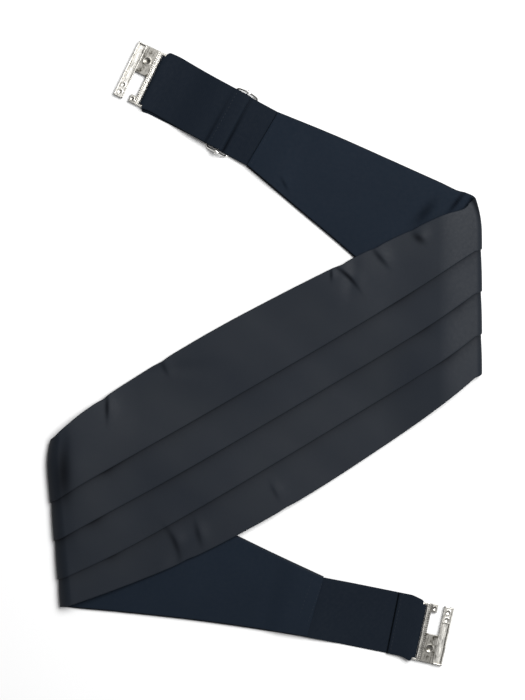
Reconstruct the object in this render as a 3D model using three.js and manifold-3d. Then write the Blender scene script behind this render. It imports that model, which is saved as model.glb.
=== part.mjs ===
// A pleated satin cummerbund laid out flat in a Z. The front panel lies on top and both
// tapered ends are folded under it, so that their lining faces up. Each end carries a strap
// with a stamped clasp, and one of the straps has a wire slider.
// Millimetres, +Z up, the surface that it lies on at z = 0.

import * as THREE from 'three';
import { mergeVertices } from 'three/addons/utils/BufferGeometryUtils.js';
import Module from 'manifold-3d';

const wasm = await Module();
wasm.setup();

// Cloth body, measured unfolded
const BODY_LENGTH = 690.6;
const PANEL_WIDTH = 128.8;
const END_WIDTH = 42.4;
const RIGHT_DRIFT = 10.7;
const LEFT_DRIFT = 10.7;
const LEFT_END_ANGLE = 3.6;
const SATIN_WALL = 1;
const LINING_WALL = 1;
const PLEAT_STEP = 0.9;
const LINING_INSET = 0.8;
const LAYER_GAP = 0.3;

// Folds: where each folded edge crosses the panel's centre line, and its angle to that line
const RIGHT_FOLD_AT = 171.5;
const RIGHT_FOLD_ANGLE = 59.6;
const LEFT_FOLD_AT = 164.8;
const LEFT_FOLD_ANGLE = 65.1;
const FOLD_RADIUS = 2;
const RIGHT_TUCK = 3.5;
const RIGHT_TUCK_ALONG = 24;
const LEFT_TUCK = 3;
const LEFT_TUCK_ALONG = 12;
const TUCK_INTO = 30;

// How the panel lies: turned on the table, resting on the folded ends and sinking between them
const PANEL_ANGLE = 30.4;
const REST_GAP = 0.5;
const PANEL_LIFT = 1;
const LOFT_REACH = 45;
const DRAPE_START = 12;
const DRAPE_REACH = 40;

// Straps
const STRAP_WIDTH = 42;
const STRAP_WALL = 1.2;
const STRAP_TUCK = 12;
const SEAM_REACH = 16;
const ADJUSTABLE_REACH = 83;
const ADJUSTABLE_ANGLE = 2.4;
const ADJUSTABLE_CLASP_ANGLE = 2.8;
const ADJUSTABLE_CLASP_SIDE = 0.9;
const FIXED_REACH = 70.4;
const FIXED_ANGLE = 5.6;
const FIXED_CLASP_ANGLE = -1;
const FIXED_CLASP_SIDE = -1.8;
const CLASP_LEAD = 9;
const SLIDER_HEM = 8.5;
const CLASP_HEM = 17.6;
const STRAP_TAPER = 3;
const TAPER_STEP = 1;
const RISE_REACH = 16;

// Slider
const SLIDER_AT = 23.4;
const SLIDER_LENGTH = 17.6;
const SLIDER_SIDE_ROOM = 1.75;
const SLIDER_WIRE = 1.3;
const SLIDER_CLEAR = 0.1;
const EYE_WIRE = 0.9;
const SLIDER_SQUARENESS = 8;
const RAIL_SHARE = 0.9;
const RAIL_RAMP = 1.1;

// Clasps
const CLASP_SQUEEZE = 2.3;
const CLASP_SHEET = 1;
const WRAP_BAR = 1.5;
const LINK_WIDTH = 1.4;
const RAIL_WIDTH = 3.6;
const RIDGE_WIDTH = 0.9;
const RIDGE_HEIGHT = 0.5;
const CLASP_SLOT = 8.2;
const PLATE_LENGTH = 19.5;
const CHANNEL_WIDTH = 6.5;
const CHANNEL_HEIGHT = 3.2;
const CHANNEL_WALL = 0.9;
const BLOCK_LENGTH = 10.4;
const BLOCK_TOP = 2.6;
const TAB_REACH = 3.8;
const TAB_LENGTH = 5.4;
const DIMPLE_RADIUS = 2.2;
const DIMPLE_DEPTH = 0.5;
const BLOCK_DIMPLE_RADIUS = 1.3;
const BLOCK_DIMPLE_DEPTH = 0.35;

// How finely the surfaces are faceted
const PANEL_STEPS = 26;
const TAPER_STEPS = 10;
const WRAP_STEPS = 6;
const STRIP_COLUMNS = 3;
const LEG_STEP = 5;
const LOOP_STEPS = 8;
const BAR_SIDES = 12;
const WELD = 1e-4;

// The body from its left end (-1) to its right end (1). width runs from END_WIDTH (0) to
// PANEL_WIDTH (1), drift is a share of that end's drift, and each pleat line is a share of the
// half width, from the lower edge (-1) to the upper edge (1).
const OUTLINE = [
  { along: -1, width: 0, drift: 1, pleatLow: -0.62, pleatMiddle: -0.15, pleatHigh: 0.33 },
  { along: -0.88, width: 0.135, drift: 0.835, pleatLow: -0.62, pleatMiddle: -0.15, pleatHigh: 0.33 },
  { along: -0.77, width: 0.277, drift: 0.672, pleatLow: -0.62, pleatMiddle: -0.15, pleatHigh: 0.33 },
  { along: -0.65, width: 0.443, drift: 0.436, pleatLow: -0.62, pleatMiddle: -0.14, pleatHigh: 0.33 },
  { along: -0.53, width: 0.62, drift: 0.195, pleatLow: -0.62, pleatMiddle: -0.13, pleatHigh: 0.325 },
  { along: -0.39, width: 0.821, drift: 0.118, pleatLow: -0.601, pleatMiddle: -0.127, pleatHigh: 0.316 },
  { along: -0.27, width: 0.933, drift: 0.052, pleatLow: -0.566, pleatMiddle: -0.13, pleatHigh: 0.296 },
  { along: -0.14, width: 0.987, drift: 0.014, pleatLow: -0.546, pleatMiddle: -0.131, pleatHigh: 0.281 },
  { along: 0, width: 0.996, drift: 0, pleatLow: -0.537, pleatMiddle: -0.131, pleatHigh: 0.276 },
  { along: 0.14, width: 0.95, drift: 0, pleatLow: -0.544, pleatMiddle: -0.133, pleatHigh: 0.279 },
  { along: 0.27, width: 0.877, drift: 0.02, pleatLow: -0.563, pleatMiddle: -0.139, pleatHigh: 0.294 },
  { along: 0.39, width: 0.771, drift: 0.149, pleatLow: -0.597, pleatMiddle: -0.149, pleatHigh: 0.313 },
  { along: 0.53, width: 0.58, drift: 0.511, pleatLow: -0.624, pleatMiddle: -0.169, pleatHigh: 0.329 },
  { along: 0.65, width: 0.422, drift: 0.685, pleatLow: -0.62, pleatMiddle: -0.171, pleatHigh: 0.33 },
  { along: 0.77, width: 0.276, drift: 0.849, pleatLow: -0.62, pleatMiddle: -0.161, pleatHigh: 0.33 },
  { along: 0.88, width: 0.152, drift: 0.945, pleatLow: -0.62, pleatMiddle: -0.151, pleatHigh: 0.33 },
  { along: 1, width: 0, drift: 1, pleatLow: -0.62, pleatMiddle: -0.15, pleatHigh: 0.33 },
];

// Soft dents in the panel: along is a share of the half body, across and wide of the half
// panel width, long of the half body, deep of the panel's lift and turn the dent's angle.
const DENTS = [
  { along: -0.4, across: 0.52, long: 0.052, wide: 0.07, deep: 0.9, turn: 62 },
  { along: -0.284, across: -0.84, long: 0.03, wide: 0.06, deep: 0.6, turn: 20 },
  { along: -0.102, across: 0.83, long: 0.05, wide: 0.08, deep: 0.6, turn: -25 },
  { along: 0.109, across: -0.3, long: 0.14, wide: 0.16, deep: 0.5, turn: 12 },
  { along: 0.281, across: 0.74, long: 0.035, wide: 0.07, deep: 0.7, turn: 50 },
];

const HALF_LENGTH = BODY_LENGTH / 2;
const LAYER = LINING_WALL + LAYER_GAP + SATIN_WALL + PLEAT_STEP;
const WRAP_LENGTH = Math.PI * FOLD_RADIUS;
const STRAP_PITCH = STRAP_WALL + LAYER_GAP;
const SATIN_TOP = LAYER - LINING_WALL - LAYER_GAP;
const SEAM_RISE = STRAP_PITCH;
const SLIDER_WIDTH = STRAP_WIDTH + 2 * SLIDER_SIDE_ROOM;
const CLASP_LENGTH = STRAP_WIDTH - CLASP_SQUEEZE;

const smooth = (x) => THREE.MathUtils.smoothstep(x, 0, 1);

// One column of a table at a place along it, as a smooth curve through its rows.
function readTable(rows, column, place) {
  const last = rows.length - 1;
  const at = THREE.MathUtils.clamp(place, rows[0].along, rows[last].along);
  let i = 0;
  while (i < last - 1 && rows[i + 1].along < at) {
    i += 1;
  }
  const slope = (k) => {
    const before = rows[Math.max(k - 1, 0)];
    const after = rows[Math.min(k + 1, last)];
    return (after[column] - before[column]) / (after.along - before.along);
  };
  const span = rows[i + 1].along - rows[i].along;
  const x = (at - rows[i].along) / span;
  const rise = rows[i + 1][column] - rows[i][column];
  const start = slope(i) * span;
  const end = slope(i + 1) * span;
  return rows[i][column] + x * (start + x * (3 * rise - 2 * start - end + x * (start + end - 2 * rise)));
}

const outline = (column, u) => readTable(OUTLINE, column, u / HALF_LENGTH);

// Half the body's width where it is u from the middle.
function halfWidth(u) {
  return THREE.MathUtils.lerp(END_WIDTH, PANEL_WIDTH, outline('width', u)) / 2;
}

// How far the body's centre line has drifted off the panel's own line.
function centreOf(u) {
  return (u > 0 ? RIGHT_DRIFT : LEFT_DRIFT) * outline('drift', u);
}

// A fold turns the cloth under along a straight crease. along is the crease's direction and
// out points away from the panel; the crease starts its turn inside the folded edge.
function makeFold(side, at, degrees) {
  const angle = THREE.MathUtils.degToRad(degrees);
  return {
    side,
    edge: new THREE.Vector2(side * at, 0),
    along: new THREE.Vector2(Math.cos(angle), Math.sin(angle)),
    out: new THREE.Vector2(side * Math.sin(angle), -side * Math.cos(angle)),
    slant: Math.cos(angle) / Math.sin(angle),
    centreAt: (past) => side * (at + (past - FOLD_RADIUS - LAYER) / Math.sin(angle)),
  };
}

const RIGHT_FOLD = makeFold(1, RIGHT_FOLD_AT, RIGHT_FOLD_ANGLE);
const LEFT_FOLD = makeFold(-1, LEFT_FOLD_AT, LEFT_FOLD_ANGLE);
const FOLDS = [LEFT_FOLD, RIGHT_FOLD];

// How far a point of the flat cloth lies past the start of a fold's turn.
function pastFold(fold, point) {
  return point.clone().sub(fold.edge).dot(fold.out) + FOLD_RADIUS + LAYER;
}

function dentAt(u, v) {
  let depth = 0;
  for (const dent of DENTS) {
    const turn = THREE.MathUtils.degToRad(dent.turn);
    const du = u - dent.along * HALF_LENGTH;
    const dv = v - dent.across * PANEL_WIDTH / 2;
    const lengthwise = (du * Math.cos(turn) + dv * Math.sin(turn)) / (dent.long * HALF_LENGTH);
    const crosswise = (dv * Math.cos(turn) - du * Math.sin(turn)) / (dent.wide * PANEL_WIDTH / 2);
    depth += dent.deep * PANEL_LIFT * Math.exp(-(lengthwise ** 2) - crosswise ** 2);
  }
  return Math.min(depth, PANEL_LIFT);
}

// Height of the panel's underside: it rests on the folded ends, is lofted near each fold and
// sinks towards the table where no end lies under it.
function panelHeight(u, v) {
  const point = new THREE.Vector2(u, v);
  let bare = 1;
  let loft = 0;
  let inside = Infinity;
  for (const fold of FOLDS) {
    const reach = -pastFold(fold, point);
    const under = point.clone().addScaledVector(fold.out, WRAP_LENGTH + 2 * reach);
    const clear = Math.abs(under.y - centreOf(under.x)) - halfWidth(under.x);
    bare *= smooth((clear - DRAPE_START) / DRAPE_REACH);
    loft += (2 * FOLD_RADIUS - REST_GAP) * (1 - smooth(reach / LOFT_REACH));
    inside = Math.min(inside, reach);
  }
  const resting = LAYER + REST_GAP;
  const dent = dentAt(u, v) * smooth(inside / DRAPE_START);
  return THREE.MathUtils.lerp(resting, PANEL_LIFT, bare) + loft - dent;
}

// Pulls the upper corner of a fold in, over a length of its folded edge, which rounds it.
function tuckCorner(fold, tuck, along, point) {
  const fromEdge = -point.clone().sub(fold.edge).dot(fold.out);
  const top = (centreOf(fold.edge.x) + halfWidth(fold.edge.x)) / fold.along.y;
  const fromTop = top - point.clone().sub(fold.edge).dot(fold.along);
  const near = THREE.MathUtils.clamp(1 - fromTop / along, 0, 1);
  const pull = tuck * near ** 2 * (1 - smooth(fromEdge / TUCK_INTO));
  point.addScaledVector(fold.out, -pull);
}

// Where a point of the cloth lies: u along the flat body, v across it, t outwards from the
// lining's face. Past a fold it has gone round a half circle and runs back underneath.
function place(u, v, t) {
  const point = new THREE.Vector2(u, v);
  let height = 0;
  const fold = FOLDS.find((one) => pastFold(one, point) > 0);
  if (fold) {
    const past = pastFold(fold, point);
    const angle = Math.min(past / FOLD_RADIUS, Math.PI);
    const beyond = Math.max(0, past - WRAP_LENGTH);
    const radius = FOLD_RADIUS + t;
    point.addScaledVector(fold.out, radius * Math.sin(angle) - beyond - past);
    height = LAYER + FOLD_RADIUS + radius * Math.cos(angle);
  } else {
    height = panelHeight(u, v) + t;
  }
  tuckCorner(RIGHT_FOLD, RIGHT_TUCK, RIGHT_TUCK_ALONG, point);
  tuckCorner(LEFT_FOLD, LEFT_TUCK, LEFT_TUCK_ALONG, point);
  return new THREE.Vector3(point.x, point.y, height);
}

// Lines across the cloth, from the left end to the right. s is where a line crosses the
// panel's centre line and slant how far it leans per millimetre of width: along a fold it
// leans as the fold does, the right end is square and the left end is cut at its own angle.
function clothLines() {
  const lines = [];
  const run = (from, to, steps) => {
    for (let i = lines.length ? 1 : 0; i <= steps; i += 1) {
      lines.push({
        s: THREE.MathUtils.lerp(from.s, to.s, i / steps),
        slant: THREE.MathUtils.lerp(from.slant, to.slant, i / steps),
      });
    }
  };
  const at = (fold, past) => ({ s: fold.centreAt(past), slant: fold.slant });
  const leftEnd = { s: -HALF_LENGTH, slant: Math.tan(THREE.MathUtils.degToRad(LEFT_END_ANGLE)) };
  const rightEnd = { s: HALF_LENGTH, slant: 0 };
  run(leftEnd, at(LEFT_FOLD, WRAP_LENGTH), TAPER_STEPS);
  run(at(LEFT_FOLD, WRAP_LENGTH), at(LEFT_FOLD, 0), WRAP_STEPS);
  run(at(LEFT_FOLD, 0), at(RIGHT_FOLD, 0), PANEL_STEPS);
  run(at(RIGHT_FOLD, 0), at(RIGHT_FOLD, WRAP_LENGTH), WRAP_STEPS);
  run(at(RIGHT_FOLD, WRAP_LENGTH), rightEnd, TAPER_STEPS);
  return lines;
}

// Where a line across the cloth meets an edge or pleat line, given as v for each u.
function meet(line, edge) {
  let v = 0;
  for (let i = 0; i < LOOP_STEPS; i += 1) {
    v = edge(line.s + line.slant * v);
  }
  return v;
}

// The strips between the pleat lines along one line across the cloth, from the lower edge up.
function stripBounds(line, inset) {
  return [
    meet(line, (u) => centreOf(u) - halfWidth(u) + inset),
    meet(line, (u) => centreOf(u) + halfWidth(u) * outline('pleatLow', u)),
    meet(line, (u) => centreOf(u) + halfWidth(u) * outline('pleatMiddle', u)),
    meet(line, (u) => centreOf(u) + halfWidth(u) * outline('pleatHigh', u)),
    meet(line, (u) => centreOf(u) + halfWidth(u) - inset),
  ];
}

// Points across the cloth on one face, from the lower edge up. share runs from 0 to 1 up each
// strip; a stepped face has two points on each pleat line.
function across(line, inset, stepped) {
  const bounds = stripBounds(line, inset);
  const points = [];
  for (let strip = 0; strip < bounds.length - 1; strip += 1) {
    const first = strip === 0 || stepped ? 0 : 1;
    for (let i = first; i <= STRIP_COLUMNS; i += 1) {
      const share = i / STRIP_COLUMNS;
      points.push({ v: THREE.MathUtils.lerp(bounds[strip], bounds[strip + 1], share), share });
    }
  }
  return points;
}

// A solid through rings of points, each ring anticlockwise as seen from the last one. Each
// four-sided patch is cut along its shorter diagonal, and section fills the two end rings.
function loftRings(rings, section) {
  const positions = rings.flat().flatMap((point) => [point.x, point.y, point.z]);
  const count = section.length;
  const indices = [];
  for (let i = 0; i < rings.length - 1; i += 1) {
    for (let j = 0; j < count; j += 1) {
      const next = (j + 1) % count;
      const [a, b, c, d] = [rings[i][j], rings[i][next], rings[i + 1][next], rings[i + 1][j]];
      const [ia, ib, ic, id] = [i * count + j, i * count + next, (i + 1) * count + next, (i + 1) * count + j];
      if (a.distanceTo(c) < b.distanceTo(d)) {
        indices.push(ia, ib, ic, ia, ic, id);
      } else {
        indices.push(ia, ib, id, ib, ic, id);
      }
    }
  }
  const last = (rings.length - 1) * count;
  for (const [a, b, c] of THREE.ShapeUtils.triangulateShape(section, [])) {
    indices.push(a, c, b, last + a, last + b, last + c);
  }
  const geometry = new THREE.BufferGeometry();
  geometry.setAttribute('position', new THREE.Float32BufferAttribute(positions, 3));
  geometry.setIndex(indices);
  geometry.computeVertexNormals();
  return geometry;
}

// A cloth from its cross-section on each line: sectionOf gives points { v, t } anticlockwise.
function cloth(sectionOf) {
  const lines = clothLines();
  const rings = lines.map((line) =>
    sectionOf(line).map(({ v, t }) => place(line.s + line.slant * v, v, t)));
  const section = sectionOf(lines[0]).map(({ v, t }) => new THREE.Vector2(v, t));
  return loftRings(rings, section);
}

// The satin is level behind and stands up towards the lower side of each strip, as a pleat does.
function satinFrontGeometry() {
  const back = LINING_WALL + LAYER_GAP;
  return cloth((line) => [
    ...across(line, 0, false).map(({ v }) => ({ v, t: back })),
    ...across(line, 0, true)
      .map(({ v, share }) => ({ v, t: back + SATIN_WALL + PLEAT_STEP * (1 - share) }))
      .reverse(),
  ]);
}

// The lining rises over the tucked-in strap at each end.
function liningGeometry() {
  return cloth((line) => {
    const fromEnd = HALF_LENGTH - Math.abs(line.s);
    const rise = SEAM_RISE * (1 - smooth((fromEnd - STRAP_TUCK - LEG_STEP) / SEAM_REACH));
    const points = across(line, LINING_INSET, false).map(({ v }) => v);
    return [
      ...points.map((v) => ({ v, t: -rise })),
      ...points.map((v) => ({ v, t: LINING_WALL - rise })).reverse(),
    ];
  });
}

// A strap along a path of { x, z } points. sectionAt gives its width at a point, how far its
// middle is moved sideways there and how far it slants per millimetre of width.
function ribbon(path, sectionAt) {
  const half = STRAP_WALL / 2;
  const rings = path.map((point, i) => {
    const before = path[Math.max(i - 1, 0)];
    const after = path[Math.min(i + 1, path.length - 1)];
    const along = new THREE.Vector2(after.x - before.x, after.z - before.z).normalize();
    const { width, middle, slant } = sectionAt(point);
    const corner = (side, layer) => new THREE.Vector3(
      point.x - along.y * layer * half + side * slant * width / 2,
      middle + side * width / 2,
      point.z + along.x * layer * half,
    );
    return [corner(-1, -1), corner(1, -1), corner(1, 1), corner(-1, 1)];
  });
  const section = [[-1, -1], [1, -1], [1, 1], [-1, 1]].map(([x, y]) => new THREE.Vector2(x, y));
  return loftRings(rings, section);
}

// A level or sloping run of strap between two places, with its height from rows { at, z }.
function leg(rows, from, to, step = LEG_STEP) {
  const heightAt = (x) => {
    let i = 0;
    while (i < rows.length - 2 && rows[i + 1].at < x) {
      i += 1;
    }
    const share = (x - rows[i].at) / (rows[i + 1].at - rows[i].at);
    return THREE.MathUtils.lerp(rows[i].z, rows[i + 1].z, smooth(share));
  };
  const steps = Math.max(1, Math.round(Math.abs(to - from) / step));
  return Array.from({ length: steps }, (_, i) => {
    const x = THREE.MathUtils.lerp(from, to, i / steps);
    return { x, z: heightAt(x) };
  });
}

// Half a turn of strap round a bar, anticlockwise from the given angle in degrees.
function halfLoop(x, z, radius, from) {
  return Array.from({ length: LOOP_STEPS + 1 }, (_, i) => {
    const angle = THREE.MathUtils.degToRad(from + 180 * i / LOOP_STEPS);
    return { x: x + radius * Math.cos(angle), z: z + radius * Math.sin(angle) };
  });
}

// Heights of strap centre lines above the table
const STRAP_ON_FLOOR = STRAP_WALL / 2;
const STRAP_IN_SEAM = SATIN_TOP + LAYER_GAP + STRAP_WALL / 2;
const STRAP_OVER_WIRE = SLIDER_CLEAR + SLIDER_WIRE + LAYER_GAP + STRAP_WALL / 2;
const CLASP_LOOP = WRAP_BAR / 2 + LAYER_GAP + STRAP_WALL / 2;
const WRAP_BAR_HEIGHT = STRAP_ON_FLOOR + CLASP_LOOP;
const SLIDER_LOOP = SLIDER_WIRE / 2 + LAYER_GAP + STRAP_WALL / 2;
const SLIDER_BAR_HEIGHT = STRAP_OVER_WIRE + STRAP_PITCH + SLIDER_LOOP;

// The strap narrows with round corners into its clasp, whose bar is shorter than the strap is
// wide, and leads towards the clasp's own place and angle.
function strapSection(reach, side, angle) {
  const inClasp = Math.min(CLASP_LENGTH - 2 * LINK_WIDTH - 2 * LAYER_GAP, STRAP_WIDTH);
  const slant = -Math.tan(THREE.MathUtils.degToRad(angle));
  return ({ x }) => {
    const near = THREE.MathUtils.clamp(1 - (reach - x) / STRAP_TAPER, 0, 1);
    const lead = smooth(1 - (reach - x) / CLASP_LEAD);
    return {
      width: THREE.MathUtils.lerp(inClasp, STRAP_WIDTH, Math.sqrt(1 - near ** 2)),
      middle: side * lead,
      slant: slant * lead,
    };
  };
}

// Under the slider, round the clasp, back on top, round the slider's bar and sewn down.
function adjustableStrapGeometry() {
  const reach = SLIDER_LENGTH / 2 + SLIDER_WIRE;
  const running = [
    { at: -STRAP_TUCK, z: STRAP_IN_SEAM },
    { at: 0, z: STRAP_IN_SEAM },
    { at: SLIDER_AT - reach, z: STRAP_OVER_WIRE },
    { at: SLIDER_AT + reach, z: STRAP_OVER_WIRE },
    { at: SLIDER_AT + reach + RISE_REACH, z: STRAP_ON_FLOOR },
    { at: ADJUSTABLE_REACH, z: STRAP_ON_FLOOR },
  ];
  const upper = [
    { at: SLIDER_AT, z: SLIDER_BAR_HEIGHT + SLIDER_LOOP },
    { at: SLIDER_AT + SLIDER_HEM + LEG_STEP, z: STRAP_OVER_WIRE + 2 * STRAP_PITCH },
    { at: SLIDER_AT + reach + RISE_REACH + LEG_STEP, z: STRAP_ON_FLOOR + STRAP_PITCH },
    { at: ADJUSTABLE_REACH - 2 * LEG_STEP, z: STRAP_ON_FLOOR + STRAP_PITCH },
    { at: ADJUSTABLE_REACH, z: WRAP_BAR_HEIGHT + CLASP_LOOP },
  ];
  const turnedBack = [
    { at: SLIDER_AT, z: SLIDER_BAR_HEIGHT - SLIDER_LOOP },
    { at: SLIDER_AT + SLIDER_HEM, z: SLIDER_BAR_HEIGHT - SLIDER_LOOP },
  ];
  const cornerAt = ADJUSTABLE_REACH - STRAP_TAPER;
  const path = [
    ...leg(running, -STRAP_TUCK, cornerAt),
    ...leg(running, cornerAt, ADJUSTABLE_REACH, TAPER_STEP),
    ...halfLoop(ADJUSTABLE_REACH, WRAP_BAR_HEIGHT, CLASP_LOOP, -90).slice(0, -1),
    ...leg(upper, ADJUSTABLE_REACH, cornerAt, TAPER_STEP),
    ...leg(upper, cornerAt, SLIDER_AT),
    ...halfLoop(SLIDER_AT, SLIDER_BAR_HEIGHT, SLIDER_LOOP, 90).slice(0, -1),
    ...leg(turnedBack, SLIDER_AT, SLIDER_AT + SLIDER_HEM),
    { x: SLIDER_AT + SLIDER_HEM, z: SLIDER_BAR_HEIGHT - SLIDER_LOOP },
  ];
  return ribbon(
    path,
    strapSection(ADJUSTABLE_REACH, ADJUSTABLE_CLASP_SIDE, ADJUSTABLE_CLASP_ANGLE),
  );
}

// Out of the seam, round the clasp and back on top for a short way.
function fixedStrapGeometry() {
  const running = [
    { at: -STRAP_TUCK, z: STRAP_IN_SEAM },
    { at: 0, z: STRAP_IN_SEAM },
    { at: RISE_REACH, z: STRAP_ON_FLOOR },
    { at: FIXED_REACH, z: STRAP_ON_FLOOR },
  ];
  const sewnAt = FIXED_REACH - CLASP_HEM;
  const upper = [
    { at: sewnAt, z: STRAP_ON_FLOOR + STRAP_PITCH },
    { at: FIXED_REACH, z: WRAP_BAR_HEIGHT + CLASP_LOOP },
  ];
  const cornerAt = FIXED_REACH - STRAP_TAPER;
  const path = [
    ...leg(running, -STRAP_TUCK, cornerAt),
    ...leg(running, cornerAt, FIXED_REACH, TAPER_STEP),
    ...halfLoop(FIXED_REACH, WRAP_BAR_HEIGHT, CLASP_LOOP, -90).slice(0, -1),
    ...leg(upper, FIXED_REACH, cornerAt, TAPER_STEP),
    ...leg(upper, cornerAt, sewnAt),
    { x: sewnAt, z: STRAP_ON_FLOOR + STRAP_PITCH },
  ];
  return ribbon(path, strapSection(FIXED_REACH, FIXED_CLASP_SIDE, FIXED_CLASP_ANGLE));
}

// A closed wire loop, nearly square in plan. Its ends lie under the strap, and its two rails,
// which begin past RAIL_SHARE of its half width, rise beside the strap to the cross bar.
function sliderFrameGeometry() {
  const points = [];
  const count = 4 * LOOP_STEPS;
  const low = SLIDER_CLEAR + SLIDER_WIRE / 2;
  for (let i = 0; i < count; i += 1) {
    const angle = 2 * Math.PI * i / count;
    const [c, s] = [Math.cos(angle), Math.sin(angle)];
    const sum = Math.abs(c) ** SLIDER_SQUARENESS + Math.abs(s) ** SLIDER_SQUARENESS;
    const size = sum ** (1 / SLIDER_SQUARENESS);
    const x = c / size;
    const y = s / size;
    const rise = smooth(RAIL_RAMP * (1 - Math.abs(x)));
    points.push(new THREE.Vector3(
      x * SLIDER_LENGTH / 2,
      y * SLIDER_WIDTH / 2,
      THREE.MathUtils.lerp(low, SLIDER_BAR_HEIGHT, Math.abs(y) > RAIL_SHARE ? rise : 0),
    ));
  }
  const path = new THREE.CatmullRomCurve3(points, true);
  const tube = new THREE.TubeGeometry(path, 2 * count, SLIDER_WIRE / 2, LOOP_STEPS, true);
  return tube.translate(SLIDER_AT, 0, 0);
}

// Closed three.js geometry as a solid that can be joined and cut.
function toSolid(geometry) {
  const bare = geometry.clone();
  bare.deleteAttribute('normal');
  bare.deleteAttribute('uv');
  const merged = mergeVertices(bare, WELD);
  return new wasm.Manifold(new wasm.Mesh({
    numProp: 3,
    vertProperties: merged.attributes.position.array,
    triVerts: new Uint32Array(merged.index.array),
  }));
}

function toGeometry(solid) {
  const mesh = solid.getMesh();
  const geometry = new THREE.BufferGeometry();
  geometry.setAttribute('position', new THREE.BufferAttribute(mesh.vertProperties, 3));
  geometry.setIndex(new THREE.BufferAttribute(mesh.triVerts, 1));
  return geometry;
}

// A cross bar between the rails, with an eye round each of them.
function sliderBarGeometry() {
  const eyeRadius = SLIDER_WIRE / 2 + LAYER_GAP + EYE_WIRE / 2;
  const railAt = SLIDER_WIDTH / 2;
  const barLength = 2 * (railAt - eyeRadius);
  const bar = new THREE.CylinderGeometry(SLIDER_WIRE / 2, SLIDER_WIRE / 2, barLength, BAR_SIDES);
  let solid = toSolid(bar);
  for (const side of [-1, 1]) {
    const eye = new THREE.TorusGeometry(eyeRadius, EYE_WIRE / 2, LOOP_STEPS, 2 * LOOP_STEPS);
    eye.rotateY(Math.PI / 2);
    solid = solid.add(toSolid(eye.translate(0, side * railAt, 0)));
  }
  return toGeometry(solid).translate(SLIDER_AT, 0, SLIDER_BAR_HEIGHT);
}

function block(x, y, z) {
  const geometry = new THREE.BoxGeometry(x[1] - x[0], y[1] - y[0], z[1] - z[0]);
  return toSolid(geometry.translate((x[0] + x[1]) / 2, (y[0] + y[1]) / 2, (z[0] + z[1]) / 2));
}

// A ball that leaves a round dimple of the given radius and depth in a face at height top.
function dimple(x, y, top, radius, depth) {
  const ball = (radius ** 2 + depth ** 2) / (2 * depth);
  const geometry = new THREE.SphereGeometry(ball, 2 * LOOP_STEPS, 2 * LOOP_STEPS);
  return toSolid(geometry.rotateX(Math.PI / 2).translate(x, y, top + ball - depth));
}

// A stamped clasp, with the bar that its strap wraps at x = 0: the strap's bar, a ribbed rail,
// an open slot beside a plate, and an outer channel that lies on the table.
function claspGeometry() {
  const half = CLASP_LENGTH / 2;
  const sheetBottom = WRAP_BAR_HEIGHT - CLASP_SHEET / 2;
  const sheetTop = WRAP_BAR_HEIGHT + CLASP_SHEET / 2;
  const railStart = WRAP_BAR / 2 + 2 * LAYER_GAP + STRAP_WALL;
  const railEnd = railStart + RAIL_WIDTH;
  const channelStart = railEnd + CLASP_SLOT;
  const channelEnd = channelStart + CHANNEL_WIDTH;
  const sheet = [sheetBottom, sheetTop];
  const ridge = [sheetBottom, sheetTop + RIDGE_HEIGHT];
  const whole = [-half, half];
  const bar = new THREE.CylinderGeometry(WRAP_BAR / 2, WRAP_BAR / 2, CLASP_LENGTH, BAR_SIDES);
  const inner = [channelStart + CHANNEL_WALL, channelEnd - CHANNEL_WALL];
  const blockEnd = half - CHANNEL_WALL;
  const parts = [
    block([railStart, railEnd], whole, sheet),
    block([railStart, railStart + RIDGE_WIDTH], whole, ridge),
    block([railEnd - RIDGE_WIDTH, railEnd], whole, ridge),
    block([0, railStart], [-half, -half + LINK_WIDTH], sheet),
    block([0, railStart], [half - LINK_WIDTH, half], sheet),
    block([railEnd, channelStart + CHANNEL_WALL], [-half, -half + PLATE_LENGTH], sheet),
    block([railEnd, railEnd + TAB_REACH], [half - TAB_LENGTH, half], sheet),
    block([channelStart, channelEnd], whole, [0, CLASP_SHEET]),
    block([channelStart, channelStart + CHANNEL_WALL], whole, [0, CHANNEL_HEIGHT]),
    block([channelEnd - CHANNEL_WALL, channelEnd], whole, [0, CHANNEL_HEIGHT]),
    block([channelStart, channelEnd], [-half, -half + CHANNEL_WALL], [0, CHANNEL_HEIGHT]),
    block([channelStart, channelEnd], [half - CHANNEL_WALL, half], [0, CHANNEL_HEIGHT]),
    block(inner, [blockEnd - BLOCK_LENGTH, blockEnd], [0, BLOCK_TOP]),
  ];
  const plateCentre = [(railEnd + channelStart) / 2, -half + PLATE_LENGTH / 2];
  const blockX = (inner[0] + inner[1]) / 2;
  const cuts = [
    dimple(...plateCentre, sheetTop, DIMPLE_RADIUS, DIMPLE_DEPTH),
    dimple(blockX, blockEnd - BLOCK_LENGTH / 4, BLOCK_TOP, BLOCK_DIMPLE_RADIUS, BLOCK_DIMPLE_DEPTH),
    dimple(blockX, blockEnd - BLOCK_LENGTH * 3 / 4, BLOCK_TOP, BLOCK_DIMPLE_RADIUS, BLOCK_DIMPLE_DEPTH),
  ];
  let solid = toSolid(bar.translate(0, 0, WRAP_BAR_HEIGHT));
  for (const part of parts) {
    solid = solid.add(part);
  }
  for (const cut of cuts) {
    solid = solid.subtract(cut);
  }
  return toGeometry(solid);
}

const satin = new THREE.MeshStandardMaterial({ color: 0x14161a, roughness: 0.4, metalness: 0 });
const navyCloth = new THREE.MeshStandardMaterial({ color: 0x0d1219, roughness: 0.85, metalness: 0 });
const webbing = new THREE.MeshStandardMaterial({ color: 0x0f1216, roughness: 0.8, metalness: 0 });
const silver = new THREE.MeshStandardMaterial({ color: 0xc9c6bf, roughness: 0.25, metalness: 1 });

function piece(name, geometry, material) {
  const mesh = new THREE.Mesh(geometry, material.clone());
  mesh.name = name;
  return mesh;
}

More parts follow.
